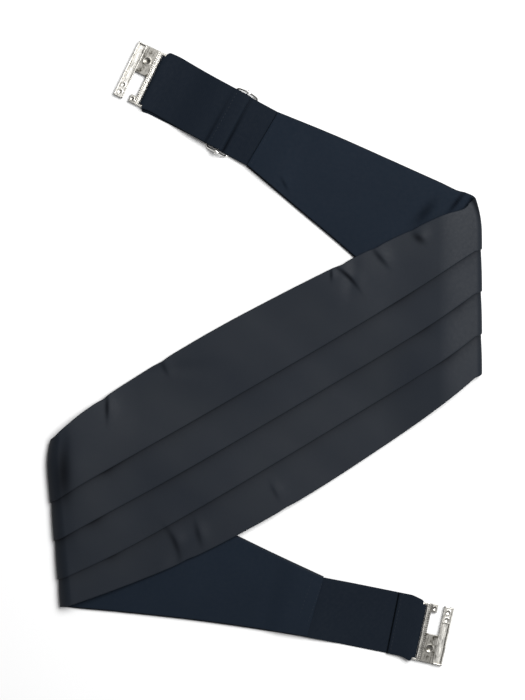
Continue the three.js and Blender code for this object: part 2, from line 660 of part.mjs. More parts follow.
// A group at the end of the folded body, with +X out along the strap.
function endGroup(fold, turn) {
  const tip = fold.side * HALF_LENGTH;
  const before = fold.side * (HALF_LENGTH - STRAP_TUCK);
  const end = place(tip, centreOf(tip), 0);
  const start = place(before, centreOf(before), 0);
  const group = new THREE.Group();
  group.position.set(end.x, end.y, 0);
  group.rotation.z = Math.atan2(end.y - start.y, end.x - start.x) + THREE.MathUtils.degToRad(turn);
  return group;
}

function claspAt(name, reach, side, angle) {
  const clasp = piece(name, claspGeometry(), silver);
  clasp.position.set(reach, side, 0);
  clasp.rotation.z = THREE.MathUtils.degToRad(angle);
  return clasp;
}

const cummerbund = new THREE.Group();
const laidOut = new THREE.Group();
laidOut.rotation.z = THREE.MathUtils.degToRad(PANEL_ANGLE);
cummerbund.add(laidOut);
laidOut.add(
  piece('satin_front', satinFrontGeometry(), satin),
  piece('lining', liningGeometry(), navyCloth),
);

const adjustableEnd = endGroup(RIGHT_FOLD, ADJUSTABLE_ANGLE);
adjustableEnd.add(
  piece('adjustable_strap', adjustableStrapGeometry(), webbing),
  piece('slider_frame', sliderFrameGeometry(), silver),
  piece('slider_bar', sliderBarGeometry(), silver),
  claspAt('adjustable_clasp', ADJUSTABLE_REACH, ADJUSTABLE_CLASP_SIDE, ADJUSTABLE_CLASP_ANGLE),
);

const fixedEnd = endGroup(LEFT_FOLD, FIXED_ANGLE);
fixedEnd.add(
  piece('fixed_strap', fixedStrapGeometry(), webbing),
  claspAt('fixed_clasp', FIXED_REACH, FIXED_CLASP_SIDE, FIXED_CLASP_ANGLE),
);
laidOut.add(adjustableEnd, fixedEnd);

// The origin is on the table, under the middle of the whole thing.
const bounds = new THREE.Box3().setFromObject(cummerbund, true);
const middle = bounds.getCenter(new THREE.Vector3());
laidOut.position.set(-middle.x, -middle.y, -bounds.min.z);

export default cummerbund;
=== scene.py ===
# %% [markdown]
# # A pleated satin cummerbund, laid out flat in a Z
#
# A cummerbund is a wide pleated sash of satin with a lining behind it. It narrows to both ends,
# where webbing straps with stamped clasps fasten it behind the back. Here both tapered ends are
# folded under the panel, so that their lining faces up.
#
# The measured solids come first: they are the frame that every visible piece keeps to.

# %% Load the frame
import math

import bpy
import numpy as np
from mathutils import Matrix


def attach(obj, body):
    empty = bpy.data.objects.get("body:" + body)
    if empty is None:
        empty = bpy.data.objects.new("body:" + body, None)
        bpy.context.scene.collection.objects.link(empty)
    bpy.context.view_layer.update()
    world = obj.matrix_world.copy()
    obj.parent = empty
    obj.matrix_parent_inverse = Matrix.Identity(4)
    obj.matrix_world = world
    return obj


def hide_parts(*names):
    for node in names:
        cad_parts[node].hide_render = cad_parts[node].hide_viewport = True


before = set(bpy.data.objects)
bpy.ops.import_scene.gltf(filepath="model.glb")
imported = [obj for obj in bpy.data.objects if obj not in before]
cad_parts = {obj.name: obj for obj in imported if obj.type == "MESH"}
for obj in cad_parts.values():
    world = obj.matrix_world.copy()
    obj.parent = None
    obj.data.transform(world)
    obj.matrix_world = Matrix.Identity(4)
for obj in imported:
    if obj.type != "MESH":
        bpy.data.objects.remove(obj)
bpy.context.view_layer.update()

print("solids:", ", ".join(sorted(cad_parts)))

# %% [markdown]
# ## The camera
#
# The picture was taken from straight above. A flat view without depth could stand for that, but
# a real camera also shows a little of the sides of what stands up. It hangs a metre and a half
# over the table, and its lens is chosen so that the picture is 474 mm high there.

# %% Camera
MM = 0.001
CAMERA_OVER = (-1.46, 2.38)
CAMERA_HEIGHT = 1500.0
PICTURE_HEIGHT = 474.1
FILM_HEIGHT = 36.0

film = bpy.data.cameras.new("camera_over_table")
film.sensor_fit = "VERTICAL"
film.sensor_height = FILM_HEIGHT
film.lens = FILM_HEIGHT * CAMERA_HEIGHT / PICTURE_HEIGHT
camera = bpy.data.objects.new("camera_over_table", film)
camera.location = (CAMERA_OVER[0] * MM, CAMERA_OVER[1] * MM, CAMERA_HEIGHT * MM)
bpy.context.scene.collection.objects.link(camera)
bpy.context.scene.camera = camera
print(f"lens {film.lens:.1f} mm")

# %% [markdown]
# ## The cloth as a band
#
# The whole body is cut as one band. It is easiest to describe unfolded: u runs along it, v
# across it, and t through its layers, outwards from the lining's face. A short table of shares
# gives its outline and its pleat lines, and a smooth curve is read through the table's rows.

# %% Sizes of the cloth, in millimetres
BODY_LENGTH = 690.6
PANEL_WIDTH = 128.8
END_WIDTH = 42.4
RIGHT_DRIFT = 10.7
LEFT_DRIFT = 10.7
LEFT_END_ANGLE = 3.6
SATIN_WALL = 1.0
LINING_WALL = 1.0
PLEAT_STEP = 0.9
LAYER_GAP = 0.3
LINING_INSET = 0.8
HALF_LENGTH = BODY_LENGTH / 2
LAYER = LINING_WALL + LAYER_GAP + SATIN_WALL + PLEAT_STEP
SATIN_BACK = LINING_WALL + LAYER_GAP


def table(columns, rows):
    """The rows of a table, as one array for each named column."""
    return dict(zip(columns.split(), np.array(rows, float).T))


OUTLINE = table("along width drift low middle high", [
    (-1.00, 0.000, 1.000, -0.620, -0.150, 0.330),
    (-0.88, 0.135, 0.835, -0.620, -0.150, 0.330),
    (-0.77, 0.277, 0.672, -0.620, -0.150, 0.330),
    (-0.65, 0.443, 0.436, -0.620, -0.140, 0.330),
    (-0.53, 0.620, 0.195, -0.620, -0.130, 0.325),
    (-0.39, 0.821, 0.118, -0.601, -0.127, 0.316),
    (-0.27, 0.933, 0.052, -0.566, -0.130, 0.296),
    (-0.14, 0.987, 0.014, -0.546, -0.131, 0.281),
    (0.00, 0.996, 0.000, -0.537, -0.131, 0.276),
    (0.14, 0.950, 0.000, -0.544, -0.133, 0.279),
    (0.27, 0.877, 0.020, -0.563, -0.139, 0.294),
    (0.39, 0.771, 0.149, -0.597, -0.149, 0.313),
    (0.53, 0.580, 0.511, -0.624, -0.169, 0.329),
    (0.65, 0.422, 0.685, -0.620, -0.171, 0.330),
    (0.77, 0.276, 0.849, -0.620, -0.161, 0.330),
    (0.88, 0.152, 0.945, -0.620, -0.151, 0.330),
    (1.00, 0.000, 1.000, -0.620, -0.150, 0.330),
])

# %% Read the outline


def smooth(x):
    """3x2 - 2x3 between 0 and 1: it leaves and arrives level."""
    x = np.clip(x, 0, 1)
    return x * x * (3 - 2 * x)


def turned(x, y, degrees):
    """x and y turned about the origin: x cos a - y sin a, and x sin a + y cos a."""
    c, s = math.cos(math.radians(degrees)), math.sin(math.radians(degrees))
    return x * c - y * s, x * s + y * c


def bell(x):
    """exp(-x2): 1 in the middle, and almost nothing past 2."""
    return np.exp(-x ** 2)


def outline(column, u):
    """A cubic through the table's rows, whose slope at a row is that between its neighbours."""
    along, values = OUTLINE["along"], OUTLINE[column]
    slopes = np.gradient(values)
    slopes[1:-1] = (values[2:] - values[:-2]) / (along[2:] - along[:-2])
    slopes[0] = (values[1] - values[0]) / (along[1] - along[0])
    slopes[-1] = (values[-1] - values[-2]) / (along[-1] - along[-2])
    at = np.clip(np.asarray(u) / HALF_LENGTH, -1, 1)
    i = np.clip(np.searchsorted(along, at) - 1, 0, len(along) - 2)
    span = along[i + 1] - along[i]
    x = (at - along[i]) / span
    rise = values[i + 1] - values[i]
    start, end = slopes[i] * span, slopes[i + 1] * span
    return values[i] + x * (start + x * (3 * rise - 2 * start - end + x * (start + end - 2 * rise)))


def half_width(u):
    """Half the band's width, between the end's and the panel's."""
    return (END_WIDTH + (PANEL_WIDTH - END_WIDTH) * outline("width", u)) / 2


def centre_of(u):
    """How far the band's middle has drifted off the panel's own line."""
    return np.where(np.asarray(u) > 0, RIGHT_DRIFT, LEFT_DRIFT) * outline("drift", u)


print(f"panel {2 * half_width(0.0):.1f} mm wide, ends {2 * half_width(HALF_LENGTH):.1f} mm")

# %% [markdown]
# ## Folding the band
#
# A fold is a straight slanted crease. Up to it the panel lies on top. Past it the cloth goes
# round a half circle and runs back underneath. The panel rests on the folded ends, stands
# higher beside each fold, and sinks towards the table where nothing lies under it. A cloth
# simulation could find this rest, but a formula gives the same fold every time, and carries
# both cloths through it without their touching.

# %% Sizes of the folds
RIGHT_FOLD_AT = 171.5
RIGHT_FOLD_ANGLE = 59.6
LEFT_FOLD_AT = 164.8
LEFT_FOLD_ANGLE = 65.1
FOLD_RADIUS = 2.0
WRAP_LENGTH = math.pi * FOLD_RADIUS
RIGHT_TUCK = 3.5
RIGHT_TUCK_ALONG = 24.0
RIGHT_CORNER_ROLL = 4.4
LEFT_TUCK = 3.2
LEFT_TUCK_ALONG = 20.0
LEFT_CORNER_ROLL = 0.0
ROLL_ALONG = 14.0
ROLL_ROUND = 3.4
TUCK_INTO = 30.0
MEET_ROUNDS = 10
PRESSED = 0.34
RIGHT_PRESS_REACH = 30.0
LEFT_PRESS_REACH = 9.0
PANEL_ANGLE = 30.4
PANEL_SHIFT = (-0.9297, -38.8401)
REST_GAP = 0.5
PANEL_LIFT = 1.0
LOFT_REACH = 62.0
DRAPE_START = 12.0
DRAPE_REACH = 66.0
PUCKER_START = 3.0


print(f"folds at {-LEFT_FOLD_AT} and {RIGHT_FOLD_AT} mm, {WRAP_LENGTH:.1f} mm of cloth in each")

# %% A fold


class Fold:
    """A crease: along is its direction, and out points away from the panel. Its upper corner
    is tucked in by so much, over so much of the folded edge, and on the panel's side it is
    rolled in further. The stack is pressed flatter within press_reach of the folded edge."""

    def __init__(self, side, at, degrees, tuck, tuck_along, roll, press_reach):
        angle = math.radians(degrees)
        self.side, self.at, self.lean = side, at, math.sin(angle)
        self.tuck, self.tuck_along = tuck, tuck_along
        self.roll, self.press_reach = roll, press_reach
        self.edge = np.array([side * at, 0.0])
        self.along = np.array([math.cos(angle), math.sin(angle)])
        self.out = side * np.array([math.sin(angle), -math.cos(angle)])
        self.slant = math.cos(angle) / math.sin(angle)

    def past(self, point):
        """How far a point of the flat band lies past the start of the turn."""
        return (point - self.edge) @ self.out + FOLD_RADIUS + LAYER

    def centre_at(self, past):
        """Where the line that lies so far past the turn's start crosses v = 0."""
        return self.side * (self.at + (past - FOLD_RADIUS - LAYER) / self.lean)

    def tucked(self, point, past):
        """Pulls the corner in: tuck times the square of the share that is left of tuck_along,
        fading over TUCK_INTO away from the folded edge. The roll adds to it in the same way,
        and ends ROLL_ROUND past the start of the turn."""
        v = 0.0
        for _ in range(MEET_ROUNDS):
            u = self.edge[0] + self.slant * v
            v = centre_of(u) + half_width(u)
        from_edge = -(point - self.edge) @ self.out
        from_top = v / self.along[1] - (point - self.edge) @ self.along
        pull = self.tuck * np.clip(1 - from_top / self.tuck_along, 0, 1) ** 2
        rolled = self.roll * np.clip(1 - from_top / ROLL_ALONG, 0, 1) ** 2
        pull = pull + rolled * (1 - smooth(past / ROLL_ROUND))
        return point - (pull * (1 - smooth(from_edge / TUCK_INTO)))[..., None] * self.out

    def pressed(self, point):
        """The share of its height that the cloth keeps: least at the folded edge."""
        from_edge = -(point - self.edge) @ self.out
        return 1 - PRESSED * (1 - smooth(from_edge / self.press_reach))


RIGHT_FOLD = Fold(1, RIGHT_FOLD_AT, RIGHT_FOLD_ANGLE, RIGHT_TUCK, RIGHT_TUCK_ALONG,
                  RIGHT_CORNER_ROLL, RIGHT_PRESS_REACH)
LEFT_FOLD = Fold(-1, LEFT_FOLD_AT, LEFT_FOLD_ANGLE, LEFT_TUCK, LEFT_TUCK_ALONG,
                 LEFT_CORNER_ROLL, LEFT_PRESS_REACH)
FOLDS = (LEFT_FOLD, RIGHT_FOLD)

# %% [markdown]
# ## Dents, puckers and swells
#
# Real satin never lies quite flat. Each row of these tables is one soft stroke: where it is,
# how long it is, how wide behind its crest and how steep in front of it, how high, how deep the
# shade in front of it, and which way it turns and bends. They could be sculpted by hand, but a
# row can be read, moved and changed. The swells are a few long waves that give the sheen
# something to travel over.

# %% Tables of dents and creases
DENTS = table("u v long wide deep turn", [
    (-138.1, 33.5, 18.0, 4.5, 0.90, 62),
    (-98.1, -54.1, 10.4, 3.9, 0.60, 20),
    (-35.2, 53.5, 17.3, 5.2, 0.60, -25),
    (37.6, -19.3, 48.3, 10.3, 0.50, 12),
    (97.0, 47.7, 12.1, 4.5, 0.70, 50),
])
PUCKERS = table("u v long wide steep high shade turn bend", [
    (96.4, 49.7, 9.0, 6.0, 1.2, 0.75, 0.85, 106, 0.010),
    (86.9, 56.1, 3.6, 3.0, 0.9, 0.40, 0.60, 60, 0.0),
    (121.6, 49.8, 7.0, 6.0, 1.6, 0.60, 0.45, 100, 0.0),
    (151.2, 48.3, 4.4, 6.0, 2.4, 0.70, 0.68, 110, 0.0),
    (196.2, 47.4, 11.0, 3.0, 0.7, 0.0, 0.90, 59.6, 0.0),
    (-88.6, 55.0, 7.5, 5.0, 1.3, 0.50, 0.75, 60, 0.0),
    (-133.3, 29.6, 18.0, 15.0, 5.2, 1.00, 0.80, 60, 0.0),
    (-94.5, -47.0, 10.0, 6.0, 2.0, 0.65, 0.52, 83, 0.012),
    (-78.2, -49.7, 7.5, 5.0, 2.0, 0.50, 0.40, 75, 0.0),
    (-19.7, -50.5, 5.5, 5.0, 1.6, 0.30, 0.15, 88, 0.0),
    (-41.6, 59.5, 5.5, 5.0, 1.6, 0.40, 0.30, 86, 0.0),
])
CORNER_ROLLS = table("u v long wide steep high shade turn bend", [
    (184.6, 54.6, 8.5, 2.6, 1.2, 0.90, 0.90, 21, 0.0),
    (193.4, 50.6, 4.4, 2.0, 1.1, 0.80, 1.00, 30, 0.0),
    (163.0, 57.5, 10.0, 4.0, 3.4, 0.40, 0.50, 18, 0.0),
    (90.8, 125.2, 4.5, 3.0, 1.0, 0.45, 0.35, 86, 0.0),
])
SHADE_AHEAD = 0.9
PLEAT_SHADE = 0.50
PLEAT_SHADE_WIDTH = 4.5
PLEAT_LINE_WIDTH = 1.5
PLEAT_SHADES = table("pleat u reach shade", [
    (3, -110.8, 5.5, 0.40),
    (3, -103.0, 14.0, 0.30),
    (3, -45.0, 40.0, 0.12),
    (3, 118.6, 14.0, 0.30),
    (2, -158.7, 8.0, 0.45),
    (2, -135.2, 7.0, 0.55),
    (2, -60.0, 30.0, 0.15),
    (2, 121.7, 9.0, 0.30),
    (2, 148.5, 8.0, 0.25),
    (1, -137.6, 6.0, 0.40),
    (1, -70.0, 30.0, 0.10),
    (1, 124.4, 9.0, 0.30),
    (1, 104.0, 10.0, -0.22),
])
SWELLS = table("length turn phase high", [
    (155.0, 8, 0.6, 0.27),
    (96.0, 121, 2.1, 0.18),
    (61.0, 58, 4.0, 0.10),
    (43.0, 97, 1.1, 0.055),
    (27.0, 20, 5.2, 0.03),
])

print(len(PUCKERS["u"]), "puckers,", len(CORNER_ROLLS["u"]), "rolls and", len(DENTS["u"]), "dents")

# %% Heights from the tables


def dents(u, v):
    """Each dent is deep times exp(-(lengthwise)2 - (crosswise)2), and together at most the lift."""
    total = np.zeros(np.shape(u))
    for u0, v0, long, wide, deep, turn in zip(*DENTS.values()):
        lengthwise, crosswise = turned(u - u0, v - v0, -turn)
        total += deep * PANEL_LIFT * bell(lengthwise / long) * bell(crosswise / wide)
    return np.minimum(total, PANEL_LIFT)


def on_stroke(u, v, u0, v0, long, turn, bend):
    """How far a point lies along a stroke, as a share of its length, and across it. The crest is
    bent like a bow, by bend times the square of the way along it."""
    lengthwise, crosswise = turned(u - u0, v - v0, -turn)
    return lengthwise / long, crosswise - bend * lengthwise ** 2


def strokes(rows, u, v):
    """Adds up the strokes: high times exp(-(lengthwise)2 - (crosswise)2). Behind its crest a
    stroke is wide, and in front of it steep."""
    total = np.zeros(np.shape(u))
    for u0, v0, long, wide, steep, high, _, turn, bend in zip(*rows.values()):
        lengthwise, crosswise = on_stroke(u, v, u0, v0, long, turn, bend)
        total += high * bell(lengthwise) * bell(crosswise / np.where(crosswise > 0, steep, wide))
    return total


def shades(rows, u, v):
    """How much light the strokes keep out, 0 to 1: each is a soft band, SHADE_AHEAD of its steep
    width in front of its crest."""
    total = np.zeros(np.shape(u))
    for u0, v0, long, _, steep, _, shade, turn, bend in zip(*rows.values()):
        lengthwise, crosswise = on_stroke(u, v, u0, v0, long, turn, bend)
        total += shade * bell(lengthwise) * bell(crosswise / steep - SHADE_AHEAD)
    return np.clip(total, 0, 1)


def swells(u, v):
    """A sum of plane sine waves, each with its own length, direction, phase and height."""
    total = np.zeros(np.shape(u))
    for length, turn, phase, high in zip(*SWELLS.values()):
        total += high * np.sin(2 * math.pi * turned(u, v, -turn)[0] / length + phase)
    return total


# %% Place the cloth


def panel_height(point):
    """Height of the panel's underside: resting on the ends, lofted at the folds, low between."""
    u, v = point[..., 0], point[..., 1]
    bare, loft, inside = 1.0, 0.0, np.inf
    for fold in FOLDS:
        reach = -fold.past(point)
        under = point + (WRAP_LENGTH + 2 * reach)[..., None] * fold.out
        clear = np.abs(under[..., 1] - centre_of(under[..., 0])) - half_width(under[..., 0])
        bare = bare * smooth((clear - DRAPE_START) / DRAPE_REACH)
        loft = loft + (2 * FOLD_RADIUS - REST_GAP) * (1 - smooth(reach / LOFT_REACH))
        inside = np.minimum(inside, reach)
    fade = smooth(inside / DRAPE_START)
    resting = LAYER + REST_GAP
    base = resting + (PANEL_LIFT - resting) * bare + loft - dents(u, v) * fade
    return base + strokes(PUCKERS, u, v) * smooth(inside / PUCKER_START) + swells(u, v) * fade


def place(u, v, t, lift=0.0):
    """Where a point of the band lies. Past a fold it is FOLD_RADIUS + t from the turn's axis
    until it has gone half round, and from there it runs straight back. lift raises it, and so
    does its share of the corner's rolls where the lining faces up."""
    u, v, t, lift = np.broadcast_arrays(u, v, t, lift)
    point = np.stack([u, v], -1)
    height = panel_height(point) + t
    moved = point.copy()
    for fold in FOLDS:
        past = fold.past(point)
        angle = np.minimum(past / FOLD_RADIUS, math.pi)
        beyond = np.maximum(0, past - WRAP_LENGTH)
        radius = FOLD_RADIUS + t
        shift = radius * np.sin(angle) - beyond - past
        moved = np.where((past > 0)[..., None], point + shift[..., None] * fold.out, moved)
        height = np.where(past > 0, LAYER + FOLD_RADIUS + radius * np.cos(angle), height)
    for fold in FOLDS:
        height = height * fold.pressed(moved)
        moved = fold.tucked(moved, fold.past(point))
    return np.concatenate([moved, (height + lift)[..., None]], -1)


def set_down(points, degrees, at):
    """Points turned about the upright axis and then shifted to a place on the table."""
    x, y = turned(points[..., 0], points[..., 1], degrees)
    return np.stack([x + at[0], y + at[1], points[..., 2]], -1)


def to_frame(points):
    """From the panel's own plan to the part's frame."""
    return set_down(points, PANEL_ANGLE, PANEL_SHIFT)


# %% [markdown]
# ## One way to make every mesh
#
# Cloth, webbing, wire and stamped metal are all a closed ring carried along a path, and each
# end is closed by one flat face. Curves with a bevel could draw some of them, but rings worked
# out as whole arrays can change their section on the way. The signed volume says whether the
# faces point out.

# %% Rings into meshes


def signed_volume(points, faces):
    """A sixth of the sum of a . (b x c) over the faces' triangles."""
    a, b, c, d = (points[faces[:, i]] for i in range(4))
    return (np.einsum("ij,ij->", a, np.cross(b, c)) + np.einsum("ij,ij->", a, np.cross(c, d))) / 6


def carried(rings, closed=False, uv=None):
    """Faces between rings, an array of rows x points x 3: one four-sided face for each step
    along and around. An open path gets the first and the last ring as its two ends."""
    rows, count = rings.shape[:2]
    index = np.arange(rows * count).reshape(rows, count)
    following = np.roll(index, -1, 0) if closed else index[1:]
    first = index if closed else index[:-1]
    sides = np.stack([first, np.roll(first, -1, 1), np.roll(following, -1, 1), following], -1)
    faces = sides.reshape(-1, 4)
    ends = [] if closed else [index[0, ::-1], index[-1]]
    points = rings.reshape(-1, 3)
    if signed_volume(points, faces) < 0:
        faces, ends = faces[:, ::-1], [end[::-1] for end in ends]
    return points, faces, ends, np.zeros((len(points), 2)) if uv is None else uv.reshape(-1, 2)


# %% Round edges and ends
QUARTER = np.radians(np.linspace(0, 90, 5))


def ring_of(upper, lower):
    """One ring for each row: along its upper side, and back along its lower one."""
    return np.concatenate([upper, lower[:, ::-1]], 1)


def rounded_span(low, high, radius, steps):
    """Places from one edge to the other, and how far the surface has dropped at each. At both
    edges it goes round a quarter turn: the places run radius (1 - cos), the drops radius
    (1 - sin)."""
    near, drop = radius * (1 - np.cos(QUARTER)), radius * (1 - np.sin(QUARTER))
    share = np.linspace(0, 1, steps + 1)[1:-1]
    inner = low + radius + (high - low - 2 * radius) * share
    return (np.concatenate([low + near, inner, high - near[::-1]], -1),
            np.concatenate([drop, 0 * share, drop[::-1]]))


def along_path(path, closed=False):
    """The way gone at each point of a path, and the direction there, one long."""
    gone = np.concatenate([[0], np.cumsum(np.linalg.norm(np.diff(path, axis=0), axis=1))])
    ahead = np.roll(path, -1, 0) - np.roll(path, 1, 0) if closed else np.gradient(path, axis=0)
    return gone, ahead / np.linalg.norm(ahead, axis=1)[:, None]


def kept_thickness(from_end, wall):
    """The share of its thickness that a cloth keeps so far from its end, which is round too:
    the square root of 1 - (1 - distance / half wall)2."""
    return np.sqrt(1 - (1 - np.clip(from_end / (wall / 2), 0, 1)) ** 2)


# %% Parts into a piece


def make_piece(name, parts, material, replaces=(), mask=None):
    """Puts parts, each (points, faces, ends, uv) in millimetres, into one smooth mesh in metres."""
    sizes = np.cumsum([0] + [len(part[0]) for part in parts])
    points = np.concatenate([part[0] for part in parts]) * MM
    faces = np.concatenate([part[1] + start for part, start in zip(parts, sizes)])
    ends = [end + start for part, start in zip(parts, sizes) for end in part[2]]
    uv = np.concatenate([part[3] for part in parts]) * MM
    mesh = bpy.data.meshes.new(name)
    mesh.from_pydata(points.tolist(), [], faces.tolist() + [end.tolist() for end in ends])
    corners = np.concatenate([faces.ravel(), *ends])
    layer = mesh.uv_layers.new(name="flat")
    layer.data.foreach_set("uv", uv[corners].ravel())
    mesh.polygons.foreach_set("use_smooth", np.ones(len(mesh.polygons), bool))
    if mask is not None:
        attribute = mesh.attributes.new(mask[0], "FLOAT", "POINT")
        shares = [np.broadcast_to(np.ravel(share), len(part[0]))
                  for part, share in zip(parts, mask[1])]
        attribute.data.foreach_set("value", np.concatenate(shares))
    mesh.update()
    mesh.materials.append(material)
    obj = bpy.data.objects.new(name, mesh)
    bpy.context.scene.collection.objects.link(obj)
    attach(obj, "root")
    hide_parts(*replaces)
    triangles = 2 * len(faces) + sum(len(end) - 2 for end in ends)
    print(f"{name}: {triangles} triangles, {signed_volume(points * 100, faces):.2f} cm3")
    return obj


# %% [markdown]
# ## Node groups for the finishes
#
# Several finishes share two effects on cloth and one on metal, so each effect is a node group
# with named inputs: the threads of a weave, the slow unevenness of dyed cloth, and the streaks
# and tarnish of plated metal. A group puts out only heights and shares. The shader itself stays
# in the material.

# %% Helpers for nodes


def add(tree, kind, inputs=(), **settings):
    """A node with its settings, and its inputs by name or number: a value or another socket."""
    node = tree.nodes.new(kind)
    for key, value in settings.items():
        setattr(node, key, value)
    for key, value in dict(inputs).items():
        if isinstance(value, bpy.types.NodeSocket):
            tree.links.new(value, node.inputs[key])
        else:
            node.inputs[key].default_value = value
    return node


def math_node(tree, operation, *values):
    """The result of one sum on numbers or sockets."""
    return add(tree, "ShaderNodeMath", enumerate(values), operation=operation).outputs[0]


def noise(tree, place_on, scale, detail, roughness=0.5):
    """Soft noise with so many bumps to a metre, between 0 and 1."""
    return add(tree, "ShaderNodeTexNoise", {
        "Vector": place_on, "Scale": scale, "Detail": detail, "Roughness": roughness}).outputs[0]


def stretched(tree, value, low, high, to_low=0.0, to_high=1.0):
    """A value between low and high, stretched to lie between to_low and to_high."""
    return add(tree, "ShaderNodeMapRange", {
        "Value": value, "From Min": low, "From Max": high,
        "To Min": to_low, "To Max": to_high}).outputs[0]


def mixed(tree, share, first, second):
    """The colour that lies by a share between two others, each a colour or a socket."""
    ends = [value if isinstance(value, bpy.types.NodeSocket) else (*value, 1)
            for value in (first, second)]
    return add(tree, "ShaderNodeMix", {0: share, 6: ends[0], 7: ends[1]},
               data_type="RGBA").outputs[2]


def start_group(name, inputs, outputs):
    """An empty group with named sockets, its input node and its output node."""
    tree = bpy.data.node_groups.new(name, "ShaderNodeTree")
    for label, kind, value in inputs:
        socket = tree.interface.new_socket(name=label, in_out="INPUT", socket_type=kind)
        if value is not None:
            socket.default_value = value
    for label in outputs:
        tree.interface.new_socket(name=label, in_out="OUTPUT", socket_type="NodeSocketFloat")
    return tree, tree.nodes.new("NodeGroupInput"), tree.nodes.new("NodeGroupOutput")


def use_group(tree, group, inputs):
    """Places a group in a material, with that material's own values."""
    return add(tree, "ShaderNodeGroup", inputs, node_tree=group)


# %% Threads of a weave
SLUB_BUMPS = 900.0
threads, given, out = start_group("cloth_threads", [
    ("Coordinates", "NodeSocketVector", None),
    ("Pitch", "NodeSocketFloat", 0.0005),
    ("Float", "NodeSocketFloat", 1.0),
    ("Slub", "NodeSocketFloat", 0.3),
], ["Height", "Shade"])


def hump(value):
    """Half sine waves side by side, one for each whole number."""
    wave = math_node(threads, "SINE", math_node(threads, "MULTIPLY", value, math.pi))
    return math_node(threads, "ABSOLUTE", wave)


axes = add(threads, "ShaderNodeSeparateXYZ", {0: given.outputs["Coordinates"]})
across = math_node(threads, "DIVIDE", axes.outputs[1], given.outputs["Pitch"])
reach = math_node(threads, "MULTIPLY", given.outputs["Pitch"], given.outputs["Float"])
along = math_node(threads, "DIVIDE", axes.outputs[0], reach)
row = math_node(threads, "FLOOR", across)
over = hump(math_node(threads, "ADD", along, math_node(threads, "MULTIPLY", row, 0.5)))
woven = math_node(threads, "MULTIPLY", hump(across), math_node(
    threads, "MULTIPLY_ADD", over, 0.5, 0.5))
slub = noise(threads, given.outputs["Coordinates"], SLUB_BUMPS, 2.0)
uneven = math_node(threads, "MULTIPLY", slub, given.outputs["Slub"])
threads.links.new(math_node(threads, "ADD", woven, uneven), out.inputs["Height"])
threads.links.new(woven, out.inputs["Shade"])

# %% Slow unevenness of dyed cloth
FINE_BUMPS = 420.0
mottle, given, out = start_group("cloth_mottle", [
    ("Coordinates", "NodeSocketVector", None),
    ("Scale", "NodeSocketFloat", 18.0),
    ("Contrast", "NodeSocketFloat", 1.0),
], ["Share", "Fine"])
wide = noise(mottle, given.outputs["Coordinates"], given.outputs["Scale"], 4.0, 0.55)
centred = math_node(mottle, "SUBTRACT", wide, 0.5)
share = math_node(mottle, "MULTIPLY_ADD", centred, given.outputs["Contrast"], 0.5)
mottle.links.new(share, out.inputs["Share"])
fine = noise(mottle, given.outputs["Coordinates"], FINE_BUMPS, 3.0)
mottle.links.new(fine, out.inputs["Fine"])

# %% Streaks and tarnish of plated metal
CLOUD_BUMPS = 240.0
CLOUD_EDGES = (0.5, 0.72)
DENT_BUMPS = 700.0
STREAK_STRETCH = (6.0, 0.6, 1.0)
patina, given, out = start_group("metal_patina", [
    ("Coordinates", "NodeSocketVector", None),
    ("Scale", "NodeSocketFloat", 250.0),
], ["Streak", "Tarnish", "Dent"])
drawn = add(patina, "ShaderNodeMapping", {
    "Vector": given.outputs["Coordinates"], "Scale": STREAK_STRETCH}).outputs[0]
cloud = noise(patina, given.outputs["Coordinates"], CLOUD_BUMPS, 4.0, 0.65)
for label, socket in (
        ("Streak", noise(patina, drawn, given.outputs["Scale"], 5.0)),
        ("Tarnish", stretched(patina, cloud, *CLOUD_EDGES)),
        ("Dent", noise(patina, given.outputs["Coordinates"], DENT_BUMPS, 2.0))):
    patina.links.new(socket, out.inputs[label])
print("node groups:", ", ".join(group.name for group in bpy.data.node_groups))

# %% [markdown]
# ## The finishes
#
# Satin has long floating threads, so it is smoother and catches more light than the plain
# lining. The webbing is matte with fine ribs across it. All three are nearly black with a
# little blue. A cloth's pattern follows the piece's own flat coordinates.

# %% Start and end of a finish


def start_finish(name):
    """A new material, its node tree, and the flat coordinates of the piece that wears it."""
    material = bpy.data.materials.new(name)
    material.use_nodes = True
    tree = material.node_tree
    return material, tree, add(tree, "ShaderNodeUVMap", uv_map="flat").outputs[0]


def end_finish(tree, colour, rough, height, bump, distance, even):
    """Leads the colour, the roughness and the bumps to the shader, and sets what is the same
    all over, in even, on the shader's own sockets."""
    relief = add(tree, "ShaderNodeBump", {
        "Height": height, "Strength": bump, "Distance": distance}).outputs[0]
    shader = tree.nodes["Principled BSDF"]
    for key, socket in (("Base Color", colour), ("Roughness", rough), ("Normal", relief)):
        tree.links.new(socket, shader.inputs[key])
    for key, value in even.items():
        shader.inputs[key].default_value = value


# %% Cloth finishes
# The near black that painted shade mixes into a cloth's colour, and the roughness it adds there.
PAINTED_SHADE_COLOUR = (0.0004, 0.0008, 0.0020)
CREASE_ROUGHNESS = 0.3
THREAD_TONE = 0.25
TONE_SHIFT = 0.08
FINE_EDGES = (0.3, 0.7)
THREAD_HEIGHT = 0.0001
SHEEN_ROUGHNESS = 0.4


